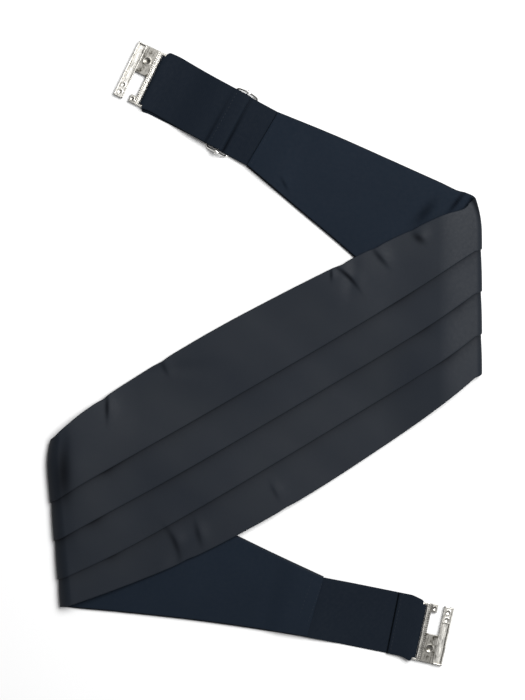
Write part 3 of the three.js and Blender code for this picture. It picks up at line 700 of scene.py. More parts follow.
def cloth_finish(name, colours, roughness, gloss, sheen, pitch, floats, bump, contrast):
    """A woven finish. Its colour lies between two dark tones by the mottle and the threads,
    its roughness between two values by the mottle, and its bump is the threads' height. The
    attribute "shade" is painted shade: in front of steep creases and under overlaps the colour
    is mixed towards near black, and the cloth is rougher there."""
    material, tree, spot = start_finish(name)
    uneven = use_group(tree, mottle, {"Coordinates": spot, "Contrast": contrast})
    weave = use_group(tree, threads, {"Coordinates": spot, "Pitch": pitch, "Float": floats})
    tone = math_node(
        tree, "MULTIPLY_ADD", weave.outputs["Shade"], THREAD_TONE, uneven.outputs["Share"])
    colour = mixed(tree, math_node(tree, "SUBTRACT", tone, TONE_SHIFT), *colours)
    # Painted shade, read from the piece's own attribute.
    crease = add(tree, "ShaderNodeAttribute", attribute_name="shade").outputs["Fac"]
    plain = stretched(tree, uneven.outputs["Fine"], *FINE_EDGES, *roughness)
    end_finish(
        tree, mixed(tree, crease, colour, PAINTED_SHADE_COLOUR),
        math_node(tree, "MULTIPLY_ADD", crease, CREASE_ROUGHNESS, plain),
        weave.outputs["Height"], bump, THREAD_HEIGHT,
        {"Specular IOR Level": gloss, "Sheen Weight": sheen,
         "Sheen Roughness": SHEEN_ROUGHNESS})
    return material


satin_finish = cloth_finish(
    "satin", ((0.0091, 0.0122, 0.0184), (0.0134, 0.0164, 0.0211)),
    (0.42, 0.50), 0.095, 0.01, 0.00035, 5.0, 0.20, 1.6)
lining_finish = cloth_finish(
    "lining_cloth", ((0.0046, 0.0086, 0.0152), (0.0074, 0.0122, 0.0204)),
    (0.62, 0.75), 0.070, 0.01, 0.00040, 1.0, 0.45, 1.2)
webbing_finish = cloth_finish(
    "webbing", ((0.0038, 0.0068, 0.0124), (0.0070, 0.0107, 0.0166)),
    (0.66, 0.80), 0.070, 0.01, 0.00080, 2.0, 0.70, 1.0)
thread_finish = cloth_finish(
    "stitching_thread", ((0.0078, 0.0110, 0.0168), (0.0194, 0.0245, 0.0335)),
    (0.50, 0.65), 0.20, 0.03, 0.00015, 2.0, 0.60, 1.0)

# %% Metal finishes
TARNISH_SHARE = 0.4
DULL_ROUGHNESS = 0.10
STREAK_EDGES = (0.35, 0.65)
HAMMER_HEIGHT = 0.0002


def metal_finish(name, bright, dull_and_shade, roughness, relief):
    """Plated metal: bright where clean and dark where tarnished, rougher along its streaks.
    A per-point attribute says how much darker and rougher a place is than the clean metal,
    and carries the painted shade in the clasps' corners and between their cross ribs."""
    material, tree, spot = start_finish(name)
    worn = use_group(tree, patina, {"Coordinates": spot})
    given = add(tree, "ShaderNodeAttribute", attribute_name="dull_and_shade").outputs["Fac"]
    dulled_and_shaded = math_node(tree, "MULTIPLY_ADD", worn.outputs["Tarnish"], TARNISH_SHARE, given)
    streaked = stretched(tree, worn.outputs["Streak"], *STREAK_EDGES, *roughness)
    end_finish(
        tree, mixed(tree, dulled_and_shaded, bright, dull_and_shade),
        math_node(tree, "MULTIPLY_ADD", given, DULL_ROUGHNESS, streaked),
        worn.outputs["Dent"], relief, HAMMER_HEIGHT, {"Metallic": 1.0})
    return material


clasp_finish = metal_finish(
    "clasp_metal", (0.84, 0.82, 0.77), (0.06, 0.055, 0.043), (0.16, 0.46), 0.10)
wire_finish = metal_finish("wire", (0.80, 0.79, 0.76), (0.10, 0.095, 0.09), (0.10, 0.20), 0.10)
print("finishes:", ", ".join(material.name for material in bpy.data.materials))

# %% [markdown]
# ## Lines across the cloth
#
# Both cloths are rings carried along the same lines. At a fold the lines lean as the fold does,
# so that the turn is a clean half cylinder. The right end is square and the left one a little
# askew. Close to each end the lines crowd together, and the cloth's edge is rounded there.

# %% Lines and edges
TAPER_STEPS = 35
WRAP_STEPS = 14
PANEL_STEPS = 440
EDGE_STATIONS = (0.0, 0.04, 0.15, 0.32, 0.5)


def cloth_lines(taper_steps, panel_steps):
    """Where each line crosses v = 0, and how far it leans for each millimetre across."""
    askew = math.tan(math.radians(LEFT_END_ANGLE))
    stops = [(-HALF_LENGTH + EDGE_STATIONS[-1], askew)]
    for fold, pasts in ((LEFT_FOLD, (WRAP_LENGTH, 0)), (RIGHT_FOLD, (0, WRAP_LENGTH))):
        stops += [(fold.centre_at(past), fold.slant) for past in pasts]
    stops.append((HALF_LENGTH - EDGE_STATIONS[-1], 0.0))
    steps = (taper_steps, WRAP_STEPS, panel_steps, WRAP_STEPS, taper_steps)
    runs = [np.linspace(a, b, n, endpoint=False) for a, b, n in zip(stops, stops[1:], steps)]
    first = [(-HALF_LENGTH + station, askew) for station in EDGE_STATIONS[:-1]]
    last = [(HALF_LENGTH - station, 0.0) for station in EDGE_STATIONS[::-1]]
    return np.concatenate([first, *runs, last]).T


def meet(lines, edge):
    """Where each line meets an edge: v is read again from the u that it gives, until it holds."""
    v = np.zeros(lines.shape[1])
    for _ in range(MEET_ROUNDS):
        v = edge(lines[0] + lines[1] * v)
    return v


def bounds_across(lines, inset):
    """The lower edge, the three pleat lines and the upper edge on each line, from below."""
    def pleat(column):
        return meet(lines, lambda u: centre_of(u) + half_width(u) * outline(column, u))
    return np.stack([
        meet(lines, lambda u: centre_of(u) - half_width(u) + inset + edge_pull(u, -1)),
        pleat("low"), pleat("middle"), pleat("high"),
        meet(lines, lambda u: centre_of(u) + half_width(u) - inset - edge_pull(u, 1)),
    ])


EDGE_PULLS = table("u side pull reach", [
    (188.0, 1, 2.8, 11.0),
    (203.2, 1, -2.3, 6.3),
    (-137.0, 1, 1.2, 5.0),
    (95.9, 1, 0.7, 4.0),
    (121.6, 1, 0.6, 4.0),
    (148.9, 1, 0.6, 4.0),
    (-42.1, 1, 0.5, 4.0),
    (-89.1, 1, 0.6, 4.0),
    (-95.1, -1, 0.5, 5.0),
    (-19.1, -1, 0.4, 4.0),
])


def edge_pull(u, side):
    """How far each pucker draws the edge in: pull times exp(-(distance / reach)2)."""
    total = np.zeros(np.shape(u))
    for at, which, pull, reach in zip(*EDGE_PULLS.values()):
        if which == side:
            total += pull * bell((u - at) / reach)
    return total


# %% [markdown]
# ## The pleated satin
#
# Each pleat is a fold of satin that overlaps the strip below it. The profile across the cloth
# is a short table for one strip: the lower strip's top runs on under the overlap, and the upper
# strip comes round its folded edge and then falls gently to the next pleat. Carried along the
# lines, the profile draws all four strips at once.

# %% Profile across the satin
UNDERLAP = 1.2
NOSE_CLEAR = 0.06
CROWN = 0.22
STRIP_COLUMNS = (24, 21, 21, 42)
NOSE_POINTS = 7
BACK_POINTS = 14
UNDER_END = ((0.0, 0.0), (UNDERLAP, 0.0))
UPPER_EDGE = ((-0.35, 0.0), (-0.1, -0.1), (0.0, -0.35))


def satin_profile():
    """For each point: its strip, its share up the strip, its shift across and its height
    over the thin satin. A nose is half a circle, from under the fold to its top, and the lowest
    strip has its upper half alone. The strip's face falls in a straight line, with half a sine
    wave on it, cut off at PLEAT_STEP."""
    nose = (PLEAT_STEP - NOSE_CLEAR) / 2
    rows = []
    for strip, columns in enumerate(STRIP_COLUMNS):
        turn = np.radians(np.linspace(-90, 90, NOSE_POINTS)) if strip else QUARTER
        if strip:
            rows.append((strip, 0, UNDERLAP, NOSE_CLEAR))
        rows += [(strip, 0, nose * (1 - math.cos(a)), NOSE_CLEAR + nose * (1 + math.sin(a)))
                 for a in turn]
        rows += [(strip, x, nose * (1 - x),
                  min(PLEAT_STEP, PLEAT_STEP * (1 - x) + CROWN * math.sin(math.pi * x)))
                 for x in np.linspace(0, 1, columns + 2)[1:-1]]
        rows += [(strip, 1, *end) for end in (UNDER_END if strip < 3 else UPPER_EDGE)]
    return np.array(rows).T


def pleat_shades(u, bounds, strip, v):
    """The shade under each overlap: PLEAT_SHADE and its own rows' share at that place, times
    exp(-distance / width) down from the pleat line above, half of it wide and half narrow."""
    total = np.zeros(u.shape)
    for pleat in (1, 2, 3):
        below = np.maximum(bounds[:, pleat][:, None] - v, 0)
        own = PLEAT_SHADE + 0 * u
        for which, at, reach, deep in zip(*PLEAT_SHADES.values()):
            if which == pleat:
                own = own + deep * bell((u - at) / reach)
        fall = np.exp(-below / PLEAT_SHADE_WIDTH) + np.exp(-below / PLEAT_LINE_WIDTH)
        total += np.where(strip == pleat - 1, own * fall / 2, 0)
    return total


# %% Satin
lines = cloth_lines(TAPER_STEPS, PANEL_STEPS)
bounds = bounds_across(lines, 0.0)
strip, share, shift, height = satin_profile()
strip = strip.astype(int)
v_top = bounds[strip].T + (bounds[strip + 1] - bounds[strip]).T * share + shift
v_back = bounds[0][:, None] + (bounds[4] - bounds[0])[:, None] * np.linspace(0, 1, BACK_POINTS)
s, lean = lines[..., None]
kept = kept_thickness(HALF_LENGTH - np.abs(s), SATIN_WALL)
t_top = SATIN_BACK + (SATIN_WALL + height) / 2 * (1 + kept)
t_back = SATIN_BACK + SATIN_WALL / 2 * (1 - kept) + 0 * v_back
v_ring, t_ring = ring_of(v_top, v_back), ring_of(t_top, t_back)
u_ring = s + lean * v_ring
# Painted shade: near black in front of the steep creases and under each pleat's overlap.
shade = shades(PUCKERS, u_ring, v_ring)
shade[:, :len(strip)] += pleat_shades(u_ring[:, :len(strip)], bounds.T, strip, v_top)
satin = make_piece(
    "satin_cloth",
    [carried(to_frame(place(u_ring, v_ring, t_ring)), uv=np.stack([u_ring, v_ring], -1))],
    satin_finish, ["satin_front"], mask=("shade", [np.clip(shade, 0, 1)]))

# %% [markdown]
# ## The lining
#
# The lining is one plain cloth behind the satin, a little inside its edges. It shows where the
# ends are folded back. At each end it rises over the strap that is tucked in behind it, and in
# the upper corner of the right fold it bunches into two small rolls.

# %% Lining
STRAP_WALL = 1.2
STRAP_TUCK = 12.0
STRAP_PITCH = STRAP_WALL + LAYER_GAP
SEAM_REACH = 16.0
SEAM_LEAD = 5.0
LINING_STEPS = (130, 70, 63)
TAPER_SWELL = 0.25
SWELL_CROWDING = 1.3
SWELL_REST = 0.6
CREASE_START = 4.0


def seam_rise(s):
    """How far the lining rises over the tucked-in strap, eased over SEAM_REACH."""
    from_end = HALF_LENGTH - np.abs(s)
    return STRAP_PITCH * (1 - smooth((from_end - STRAP_TUCK - SEAM_LEAD) / SEAM_REACH))


def on_tapers(points, u):
    """How much a point belongs to a folded-back end, where creases may stand up: 0 to 1."""
    flat = np.stack(np.broadcast_arrays(u, points[..., 1] * 0), -1)
    past = np.maximum(LEFT_FOLD.past(flat), RIGHT_FOLD.past(flat))
    return smooth((past - WRAP_LENGTH) / CREASE_START)


lines = cloth_lines(*LINING_STEPS[:2])
s, lean = lines[..., None]
low, _, _, _, high = bounds_across(lines, LINING_INSET)[..., None]
v_half, drop = rounded_span(low, high, LINING_WALL / 2, LINING_STEPS[2])
thick = (LINING_WALL / 2 - drop) * kept_thickness(HALF_LENGTH - np.abs(s), LINING_WALL)
middle = LINING_WALL / 2 - seam_rise(s)
v_ring, t_ring = ring_of(v_half, v_half), ring_of(middle + thick, middle - thick)
u_ring = s + lean * v_ring
flat_place = place(u_ring, v_ring, t_ring)
x, y = flat_place[..., 0], flat_place[..., 1]
up = TAPER_SWELL * (1 + swells(x * SWELL_CROWDING, y * SWELL_CROWDING) / SWELL_REST)
up = np.maximum(strokes(CORNER_ROLLS, x, y) + up, 0)
lift = up * on_tapers(flat_place, u_ring)
# Painted shade in front of the rolls and creases on the folded ends.
shade = shades(CORNER_ROLLS, x, y)
lining = make_piece(
    "lining_cloth_piece",
    [carried(to_frame(place(u_ring, v_ring, t_ring, lift)), uv=np.stack([u_ring, v_ring], -1))],
    lining_finish, ["lining"], mask=("shade", [shade]))

# %% [markdown]
# ## The straps
#
# Each strap is a flat webbing band that follows a path seen from its side: out of the seam,
# down to the table, round the clasp's bar and back on top. The long strap goes on to the
# slider, round its bar and a short way back. The path is legs that ease between chosen heights
# and half turns round the bars, and a flat rounded ring is carried along it. That keeps the
# webbing one piece, as thick and as long as it was cut, where bent boxes would stretch it.

# %% Sizes of the straps
STRAP_WIDTH = 42.0
ADJUSTABLE_REACH = 83.0
ADJUSTABLE_ANGLE = 2.4
ADJUSTABLE_CLASP_ANGLE = 2.8
ADJUSTABLE_CLASP_SIDE = 0.9
FIXED_REACH = 70.4
FIXED_ANGLE = 5.6
FIXED_CLASP_ANGLE = -1.0
FIXED_CLASP_SIDE = -1.8
CLASP_LEAD = 9.0
SLIDER_HEM = 8.5
SLACK_TURN = 1.5
CLASP_HEM = 17.6
STRAP_TAPER = 2.4
LAYER_SKEW = 0.9
SKEW_REACH = 42.0
TURN_SHADE_LEAST = 0.2
RISE_REACH = 25.0
SLIDER_AT = 23.4
SLIDER_LENGTH = 17.6
SLIDER_SIDE_ROOM = 1.75
SLIDER_WIDTH = STRAP_WIDTH + 2 * SLIDER_SIDE_ROOM
SLIDER_WIRE = 1.3
SLIDER_CLEAR = 0.1
EYE_WIRE = 0.9
CLASP_SQUEEZE = 2.3
CLASP_LENGTH = STRAP_WIDTH - CLASP_SQUEEZE
LINK_WIDTH = 1.4
WRAP_BAR = 1.5
STRAP_ON_FLOOR = STRAP_WALL / 2
STRAP_IN_SEAM = LAYER - LINING_WALL + STRAP_WALL / 2
STRAP_OVER_WIRE = SLIDER_CLEAR + SLIDER_WIRE + LAYER_GAP + STRAP_WALL / 2
CLASP_LOOP = WRAP_BAR / 2 + LAYER_GAP + STRAP_WALL / 2
WRAP_BAR_HEIGHT = STRAP_ON_FLOOR + CLASP_LOOP
SLIDER_LOOP = SLIDER_WIRE / 2 + LAYER_GAP + STRAP_WALL / 2
SLIDER_BAR_HEIGHT = STRAP_OVER_WIRE + STRAP_PITCH + SLIDER_LOOP
BAND_STEPS = 31
FINE_STEP = 0.25
TURN_SHADES = table("at width layer deep", [
    (SLIDER_AT - SLACK_TURN - SLIDER_LOOP - STRAP_WALL, 0.9, 1, 0.8),
    (SLIDER_AT + SLIDER_HEM + 0.5, 0.8, -1, 0.6),
])

print(f"slider's bar {SLIDER_BAR_HEIGHT:.2f} mm up, clasp's bar {WRAP_BAR_HEIGHT:.2f} mm up")

# %% Paths seen from the side


def height_at(rows, x):
    """The height between two rows (place, height), eased by smooth."""
    at, z = np.array(rows, float).T
    i = np.clip(np.searchsorted(at, x, side="right") - 1, 0, len(at) - 2)
    return z[i] + (z[i + 1] - z[i]) * smooth((x - at[i]) / (at[i + 1] - at[i]))


def leg(rows, start, end, step=1.0):
    """Points (x, z) from start to end, about a step apart."""
    x = np.linspace(start, end, max(2, int(abs(end - start) / step) + 1))
    return np.stack([x, height_at(rows, x)], -1)


def half_loop(x, z, radius, start):
    """Half a turn round a bar, anticlockwise from the start angle in degrees."""
    angle = np.radians(start + np.linspace(0, 180, 15))
    return np.stack([x + radius * np.cos(angle), z + radius * np.sin(angle)], -1)


def joined(*runs):
    """Runs of points as one path, without the points that repeat."""
    path = np.concatenate(runs)
    steps = np.linalg.norm(np.diff(path, axis=0), axis=1)
    return path[np.concatenate([[True], steps > 1e-3])]


def strap_path(running, upper, reach, back_to):
    """From the seam to the clasp, round its bar and back on top as far as back_to. The steps
    are short where the strap's corners are round."""
    corner_at = reach - STRAP_TAPER
    return joined(
        leg(running, -STRAP_TUCK, corner_at),
        leg(running, corner_at, reach, FINE_STEP),
        half_loop(reach, WRAP_BAR_HEIGHT, CLASP_LOOP, -90),
        leg(upper, reach, corner_at, FINE_STEP),
        leg(upper, corner_at, back_to))


# %% Bands along the paths


def strap_section(reach, side, degrees, skew):
    """A function that gives a strap's width, its middle and its slant at x. With round corners
    it narrows into the clasp, and it leads towards the clasp's own place and angle. For some
    way before that its two layers (1 and -1) lie skewed, each moved by skew to its own side."""
    in_clasp = CLASP_LENGTH - 2 * LINK_WIDTH - 2 * LAYER_GAP

    def section(x, layer):
        before = reach - x
        near = np.clip(1 - before / STRAP_TAPER, 0, 1)
        lead = smooth(1 - before / CLASP_LEAD)
        width = in_clasp + (STRAP_WIDTH - in_clasp) * (1 - near ** 3) ** (1 / 3)
        apart = skew * layer * smooth(before / STRAP_TAPER) * (1 - smooth(before / SKEW_REACH))
        return width, side * lead + apart, -math.tan(math.radians(degrees)) * lead
    return section


def turn_shades(x, y, layer):
    """Painted shade lines on the long strap: under its turn over the slider's bar, and where the
    hem below ends. Each is exp(-(distance / its width)2), and grows towards one selvedge."""
    total = 0 * y
    for at, width, which, deep in zip(*TURN_SHADES.values()):
        total = total + deep * bell((x - at) / width) * (layer == which)
    grown = smooth(0.5 + y / STRAP_WIDTH)
    return total * (TURN_SHADE_LEAST + (1 - TURN_SHADE_LEAST) * grown)


def band(path, section, to_end):
    """A flat ring carried along the path: half as thick as the strap on either side, and round
    at its selvedges and ends. Also returns its length and the shares of turn_shades."""
    gone, ahead = along_path(path)
    layer = np.where(np.arange(len(path)) < np.argmax(path[:, 0]), 1.0, -1.0)[:, None]
    width, middle, slant = section(path[:, :1], layer)
    y, drop = rounded_span(-width / 2, width / 2, STRAP_WALL / 2, BAND_STEPS)
    kept = kept_thickness(np.minimum(gone, gone[-1] - gone), STRAP_WALL)[:, None]
    half = (STRAP_WALL / 2 - drop) * kept
    y, off = ring_of(y, y), ring_of(half, -half)
    rings = np.stack([path[:, :1] - ahead[:, 1:] * off + slant * y, y + middle,
                      path[:, 1:] + ahead[:, :1] * off], -1)
    uv = np.stack([np.broadcast_to(gone[:, None], y.shape), y], -1)
    return carried(to_end(rings), uv=uv), gone[-1], turn_shades(path[:, :1], y, layer)


# %% Frames at the two ends


def end_frame(side, degrees):
    """A function that puts points of a strap's own frame, +X out along it, at the band's end."""
    tips = np.array([side * HALF_LENGTH, side * (HALF_LENGTH - STRAP_TUCK)])
    tip, before = place(tips, centre_of(tips), 0.0)
    heading = math.degrees(math.atan2(tip[1] - before[1], tip[0] - before[0]))
    return lambda points: to_frame(set_down(points, heading + degrees, tip))


def clasp_frame(to_end, reach, side, degrees):
    """The same for a clasp, which lies at its own place in the strap's frame, a little askew."""
    return lambda points: to_end(set_down(points, degrees, (reach, side)))


at_adjustable = end_frame(1, ADJUSTABLE_ANGLE)
at_fixed = end_frame(-1, FIXED_ANGLE)
for name, to_end in (("adjustable", at_adjustable), ("fixed", at_fixed)):
    print(name, "end at", np.round(to_end(np.zeros(3)), 1))

# %% Long strap
reach = SLIDER_LENGTH / 2 + SLIDER_WIRE
LONG_RUNNING = [
    (-STRAP_TUCK, STRAP_IN_SEAM), (0, STRAP_IN_SEAM),
    (SLIDER_AT - reach, STRAP_OVER_WIRE), (SLIDER_AT + reach, STRAP_OVER_WIRE),
    (SLIDER_AT + reach + RISE_REACH, STRAP_ON_FLOOR), (ADJUSTABLE_REACH, STRAP_ON_FLOOR),
]
LONG_UPPER = [
    (SLIDER_AT, SLIDER_BAR_HEIGHT + SLIDER_LOOP),
    (SLIDER_AT + SLIDER_HEM + 5, STRAP_OVER_WIRE + 2 * STRAP_PITCH),
    (SLIDER_AT + reach + RISE_REACH + 5, STRAP_ON_FLOOR + STRAP_PITCH),
    (ADJUSTABLE_REACH - 10, STRAP_ON_FLOOR + STRAP_PITCH),
    (ADJUSTABLE_REACH, WRAP_BAR_HEIGHT + CLASP_LOOP),
]
under_bar = SLIDER_BAR_HEIGHT - SLIDER_LOOP
LONG_HEM = [(SLIDER_AT, under_bar), (SLIDER_AT + SLIDER_HEM, under_bar)]
turn_at = SLIDER_AT - SLACK_TURN
long_section = strap_section(
    ADJUSTABLE_REACH, ADJUSTABLE_CLASP_SIDE, ADJUSTABLE_CLASP_ANGLE, LAYER_SKEW)
long_path = joined(
    strap_path(LONG_RUNNING, LONG_UPPER, ADJUSTABLE_REACH, turn_at),
    half_loop(turn_at, SLIDER_BAR_HEIGHT, SLIDER_LOOP, 90),
    leg(LONG_HEM, turn_at, SLIDER_AT + SLIDER_HEM))
part, long_length, shade = band(long_path, long_section, at_adjustable)
long_strap = make_piece(
    "adjustable_webbing", [part], webbing_finish, ["adjustable_strap"],
    mask=("shade", [shade]))

# %% Short strap
sewn_at = FIXED_REACH - CLASP_HEM
SHORT_RUNNING = [
    (-STRAP_TUCK, STRAP_IN_SEAM), (0, STRAP_IN_SEAM),
    (RISE_REACH, STRAP_ON_FLOOR), (FIXED_REACH, STRAP_ON_FLOOR),
]
SHORT_UPPER = [
    (sewn_at, STRAP_ON_FLOOR + STRAP_PITCH), (FIXED_REACH, WRAP_BAR_HEIGHT + CLASP_LOOP)]
short_section = strap_section(FIXED_REACH, FIXED_CLASP_SIDE, FIXED_CLASP_ANGLE, 0.0)
short_path = strap_path(SHORT_RUNNING, SHORT_UPPER, FIXED_REACH, sewn_at)
part, short_length, _ = band(short_path, short_section, at_fixed)
short_strap = make_piece("fixed_webbing", [part], webbing_finish, ["fixed_strap"])
print(f"straps cut to {long_length:.1f} mm and {short_length:.1f} mm")

# %% [markdown]
# ## Stitches
#
# Each hem and each seam is held by a row of short stitches. A bump could hint at them, but
# real thread stands off the cloth and catches light. One stitch is a small arched capsule, and
# a row is the same capsule at even steps along a line on the cloth.

# %% Rows of stitches
STITCH_PITCH = 2.6
STITCH_LENGTH = 1.9
STITCH_START = 0.8
STITCH_ARCH = 0.22
STITCH_SINK = 0.08
THREAD = 0.38
TIP_SHARE = 0.35
STITCH_POINTS = 6
STITCH_SPOKES = np.radians(np.arange(6) * 60 + 30)
SEAM_ROWS = (2.0, 9.0)
HEM_ROWS = (2.0, 2.2)
HEM_INSET = 1.5
SEAM_INSET = 2.0
LINE_POINTS = 40


def stitch_row(line):
    """Capsules along a line of points: each arches up from its ends, like a half sine, and its
    six-sided section shrinks to them."""
    gone, _ = along_path(line)
    arch = np.sin(np.linspace(0, math.pi, STITCH_POINTS))
    across, up = np.cos(STITCH_SPOKES)[:, None], np.sin(STITCH_SPOKES)[:, None]
    parts = []
    for start in np.arange(STITCH_START, gone[-1] - STITCH_LENGTH, STITCH_PITCH):
        at = start + STITCH_LENGTH * np.linspace(0, 1, STITCH_POINTS)
        spine = np.stack([np.interp(at, gone, line[:, k]) for k in range(3)], -1)
        spine[:, 2] += STITCH_ARCH * arch - STITCH_SINK
        ahead = spine[-1] - spine[0]
        side = np.array([-ahead[1], ahead[0], 0]) / np.hypot(*ahead[:2])
        radius = THREAD / 2 * (TIP_SHARE + (1 - TIP_SHARE) * arch)
        ring = across * side + up * np.array([0, 0, 1.0])
        parts.append(carried(spine[:, None] + radius[:, None, None] * ring))
    return parts


def strap_line(rows, x, to_end):
    """A straight line across a strap's upper face."""
    x = np.full(LINE_POINTS, float(x))
    y = np.linspace(-1, 1, LINE_POINTS) * (STRAP_WIDTH / 2 - HEM_INSET)
    return to_end(np.stack([x, y, height_at(rows, x) + STRAP_WALL / 2], -1))


def seam_line(side, from_end):
    """A straight line across the lining, over the tucked-in strap."""
    u = np.full(LINE_POINTS, side * (HALF_LENGTH - from_end))
    v = centre_of(u) + (half_width(u) - SEAM_INSET) * np.linspace(-1, 1, LINE_POINTS)
    return to_frame(place(u, v, -seam_rise(u)))


hems = [
    *stitch_row(strap_line(LONG_UPPER, SLIDER_AT + SLIDER_HEM - HEM_ROWS[0], at_adjustable)),
    *stitch_row(strap_line(SHORT_UPPER, sewn_at + HEM_ROWS[1], at_fixed)),
]
seams = [stitch for side in (1, -1) for from_end in SEAM_ROWS
         for stitch in stitch_row(seam_line(side, from_end))]
hem_stitches = make_piece("hem_stitches", hems, thread_finish, ())
make_piece("seam_stitches", seams, thread_finish, ())

# %% [markdown]
# ## The slider
#
# The slider is bent wire: a nearly square loop whose two rails rise beside the strap, and a
# cross bar with an eye round each rail. A wire is a small circle carried along a path, and the
# loop's path is a superellipse, because one number makes its corners as square as they are.

# %% Slider
SLIDER_SQUARENESS = 8
RAIL_SHARE = 0.9
RAIL_RAMP = 1.1
RAIL_EASE = 2.5
EYE_RADIUS = SLIDER_WIRE / 2 + LAYER_GAP + EYE_WIRE / 2
WIRE_SPOKES = np.radians(np.arange(16) * 22.5 + 11.25)
WIRE_TIP = 0.55
UPRIGHT = 0.9
FRAME_POINTS = 180
EYE_POINTS = 32
BAR_POINTS = 40


def wire(path, radius, closed=False, to_end=at_adjustable):
    """A circle carried along a path. Its frame is made from the path's direction and upright."""
    _, ahead = along_path(path, closed)
    upright = np.where(np.abs(ahead[:, 2:]) > UPRIGHT, [[1.0, 0, 0]], [[0, 0, 1.0]])
    side = np.cross(ahead, upright)
    side /= np.linalg.norm(side, axis=1)[:, None]
    top = np.cross(side, ahead)
    size = np.full(len(path), radius)
    if not closed:
        size[[0, -1]] *= WIRE_TIP
    c, s = np.cos(WIRE_SPOKES)[:, None], np.sin(WIRE_SPOKES)[:, None]
    ring = c * side[:, None] + s * top[:, None]
    return carried(to_end(path[:, None] + size[:, None, None] * ring), closed=closed)


def square_loop():
    """A superellipse: the circle's point divided by the sum of its powers' root."""
    angle = np.arange(FRAME_POINTS) * 2 * math.pi / FRAME_POINTS
    c, s = np.cos(angle), np.sin(angle)
    power = SLIDER_SQUARENESS
    size = (np.abs(c) ** power + np.abs(s) ** power) ** (1 / power)
    x, y = c / size, s / size
    low = SLIDER_CLEAR + SLIDER_WIRE / 2
    on_rail = smooth((np.abs(y) - RAIL_SHARE) / (1 - RAIL_SHARE) * RAIL_EASE)
    z = low + (SLIDER_BAR_HEIGHT - low) * smooth(RAIL_RAMP * (1 - np.abs(x))) * on_rail
    return np.stack([SLIDER_AT + x * SLIDER_LENGTH / 2, y * SLIDER_WIDTH / 2, z], -1)


def eye(side):
    """A small ring round one rail, standing across the slider."""
    angle = np.arange(EYE_POINTS) * 2 * math.pi / EYE_POINTS
    ring = EYE_RADIUS * np.stack([0 * angle, np.cos(angle), np.sin(angle)], -1)
    return ring + [SLIDER_AT, side * SLIDER_WIDTH / 2, SLIDER_BAR_HEIGHT]


bar_y = np.linspace(-1, 1, BAR_POINTS) * (SLIDER_WIDTH / 2 - EYE_RADIUS)
bar = np.stack([0 * bar_y + SLIDER_AT, bar_y, 0 * bar_y + SLIDER_BAR_HEIGHT], -1)
make_piece(
    "slider_wire", [wire(square_loop(), SLIDER_WIRE / 2, True)], wire_finish,
    ["slider_frame"])
eyes = [wire(eye(side), EYE_WIRE / 2, True) for side in (-1, 1)]
make_piece(
    "slider_cross_bar", [wire(bar, SLIDER_WIRE / 2), *eyes], wire_finish, ["slider_bar"])

# %% [markdown]
# ## The clasps
#
# Each clasp is stamped from one sheet: the strap's bar, a ribbed rail, a flat plate beside an
# open slot, and an outer channel that lies on the table. It could be one mesh with its edges
# bevelled, but every part of it is a plain bar with round edges, so one function makes them
# all. The ribs and dimples are a height that is added to a bar's upper side, and the hammered
# look comes from the finish. Painted shade along the foot of the channel's walls and between
# the rail's fine cross ribs is an attribute, worked out from the place.

# %% Sizes of a clasp
CLASP_SHEET = 1.0
RAIL_WIDTH = 3.6
RIDGE_HEIGHT = 0.5
CLASP_SLOT = 8.2
PLATE_LENGTH = 19.5
CHANNEL_WIDTH = 6.5
CHANNEL_HEIGHT = 3.2
CHANNEL_WALL = 0.9
BLOCK_LENGTH = 10.4
BLOCK_TOP = 2.6
TAB_REACH = 3.8
TAB_LENGTH = 5.4
PLATE_DIMPLE = (2.2, 0.5)
BLOCK_DIMPLE = (1.3, 0.45)
TAB_DIMPLE = (1.2, 0.4)
OVERLAP = 0.3
LAP = 0.15
INSIDE = 0.1
BLOCK_FOOT = 0.2
BLOCK_DIMPLES_AT = (0.25, 0.75)
BAR_ROUND = 0.22
BAR_STEPS = (0.25, 0.35)
STRAP_BAR_POINTS = 60
LEAST_BOX = 2.2
RIM = (0.12, 1.15, 0.18)
# Painted shade on the clasps: along the foot of the channel's walls, and between the rail's cross
# ribs.
PAINTED_CORNER_SHADE = 0.95
RIB_SHADE = (0.06, 0.75)
RIB_FADE = (2.2, 0.6)
CORNER_SHADE_WIDTH = 0.8
CROSS_RIB_PITCH = 1.35
RAIL_START = WRAP_BAR / 2 + 2 * LAYER_GAP + STRAP_WALL
RAIL_END = RAIL_START + RAIL_WIDTH
CHANNEL_START = RAIL_END + CLASP_SLOT
CHANNEL_END = CHANNEL_START + CHANNEL_WIDTH
HALF_CLASP = CLASP_LENGTH / 2
print(f"clasps {CLASP_LENGTH:.1f} x {CHANNEL_END:.1f} mm")

# %% Rounded bars with relief


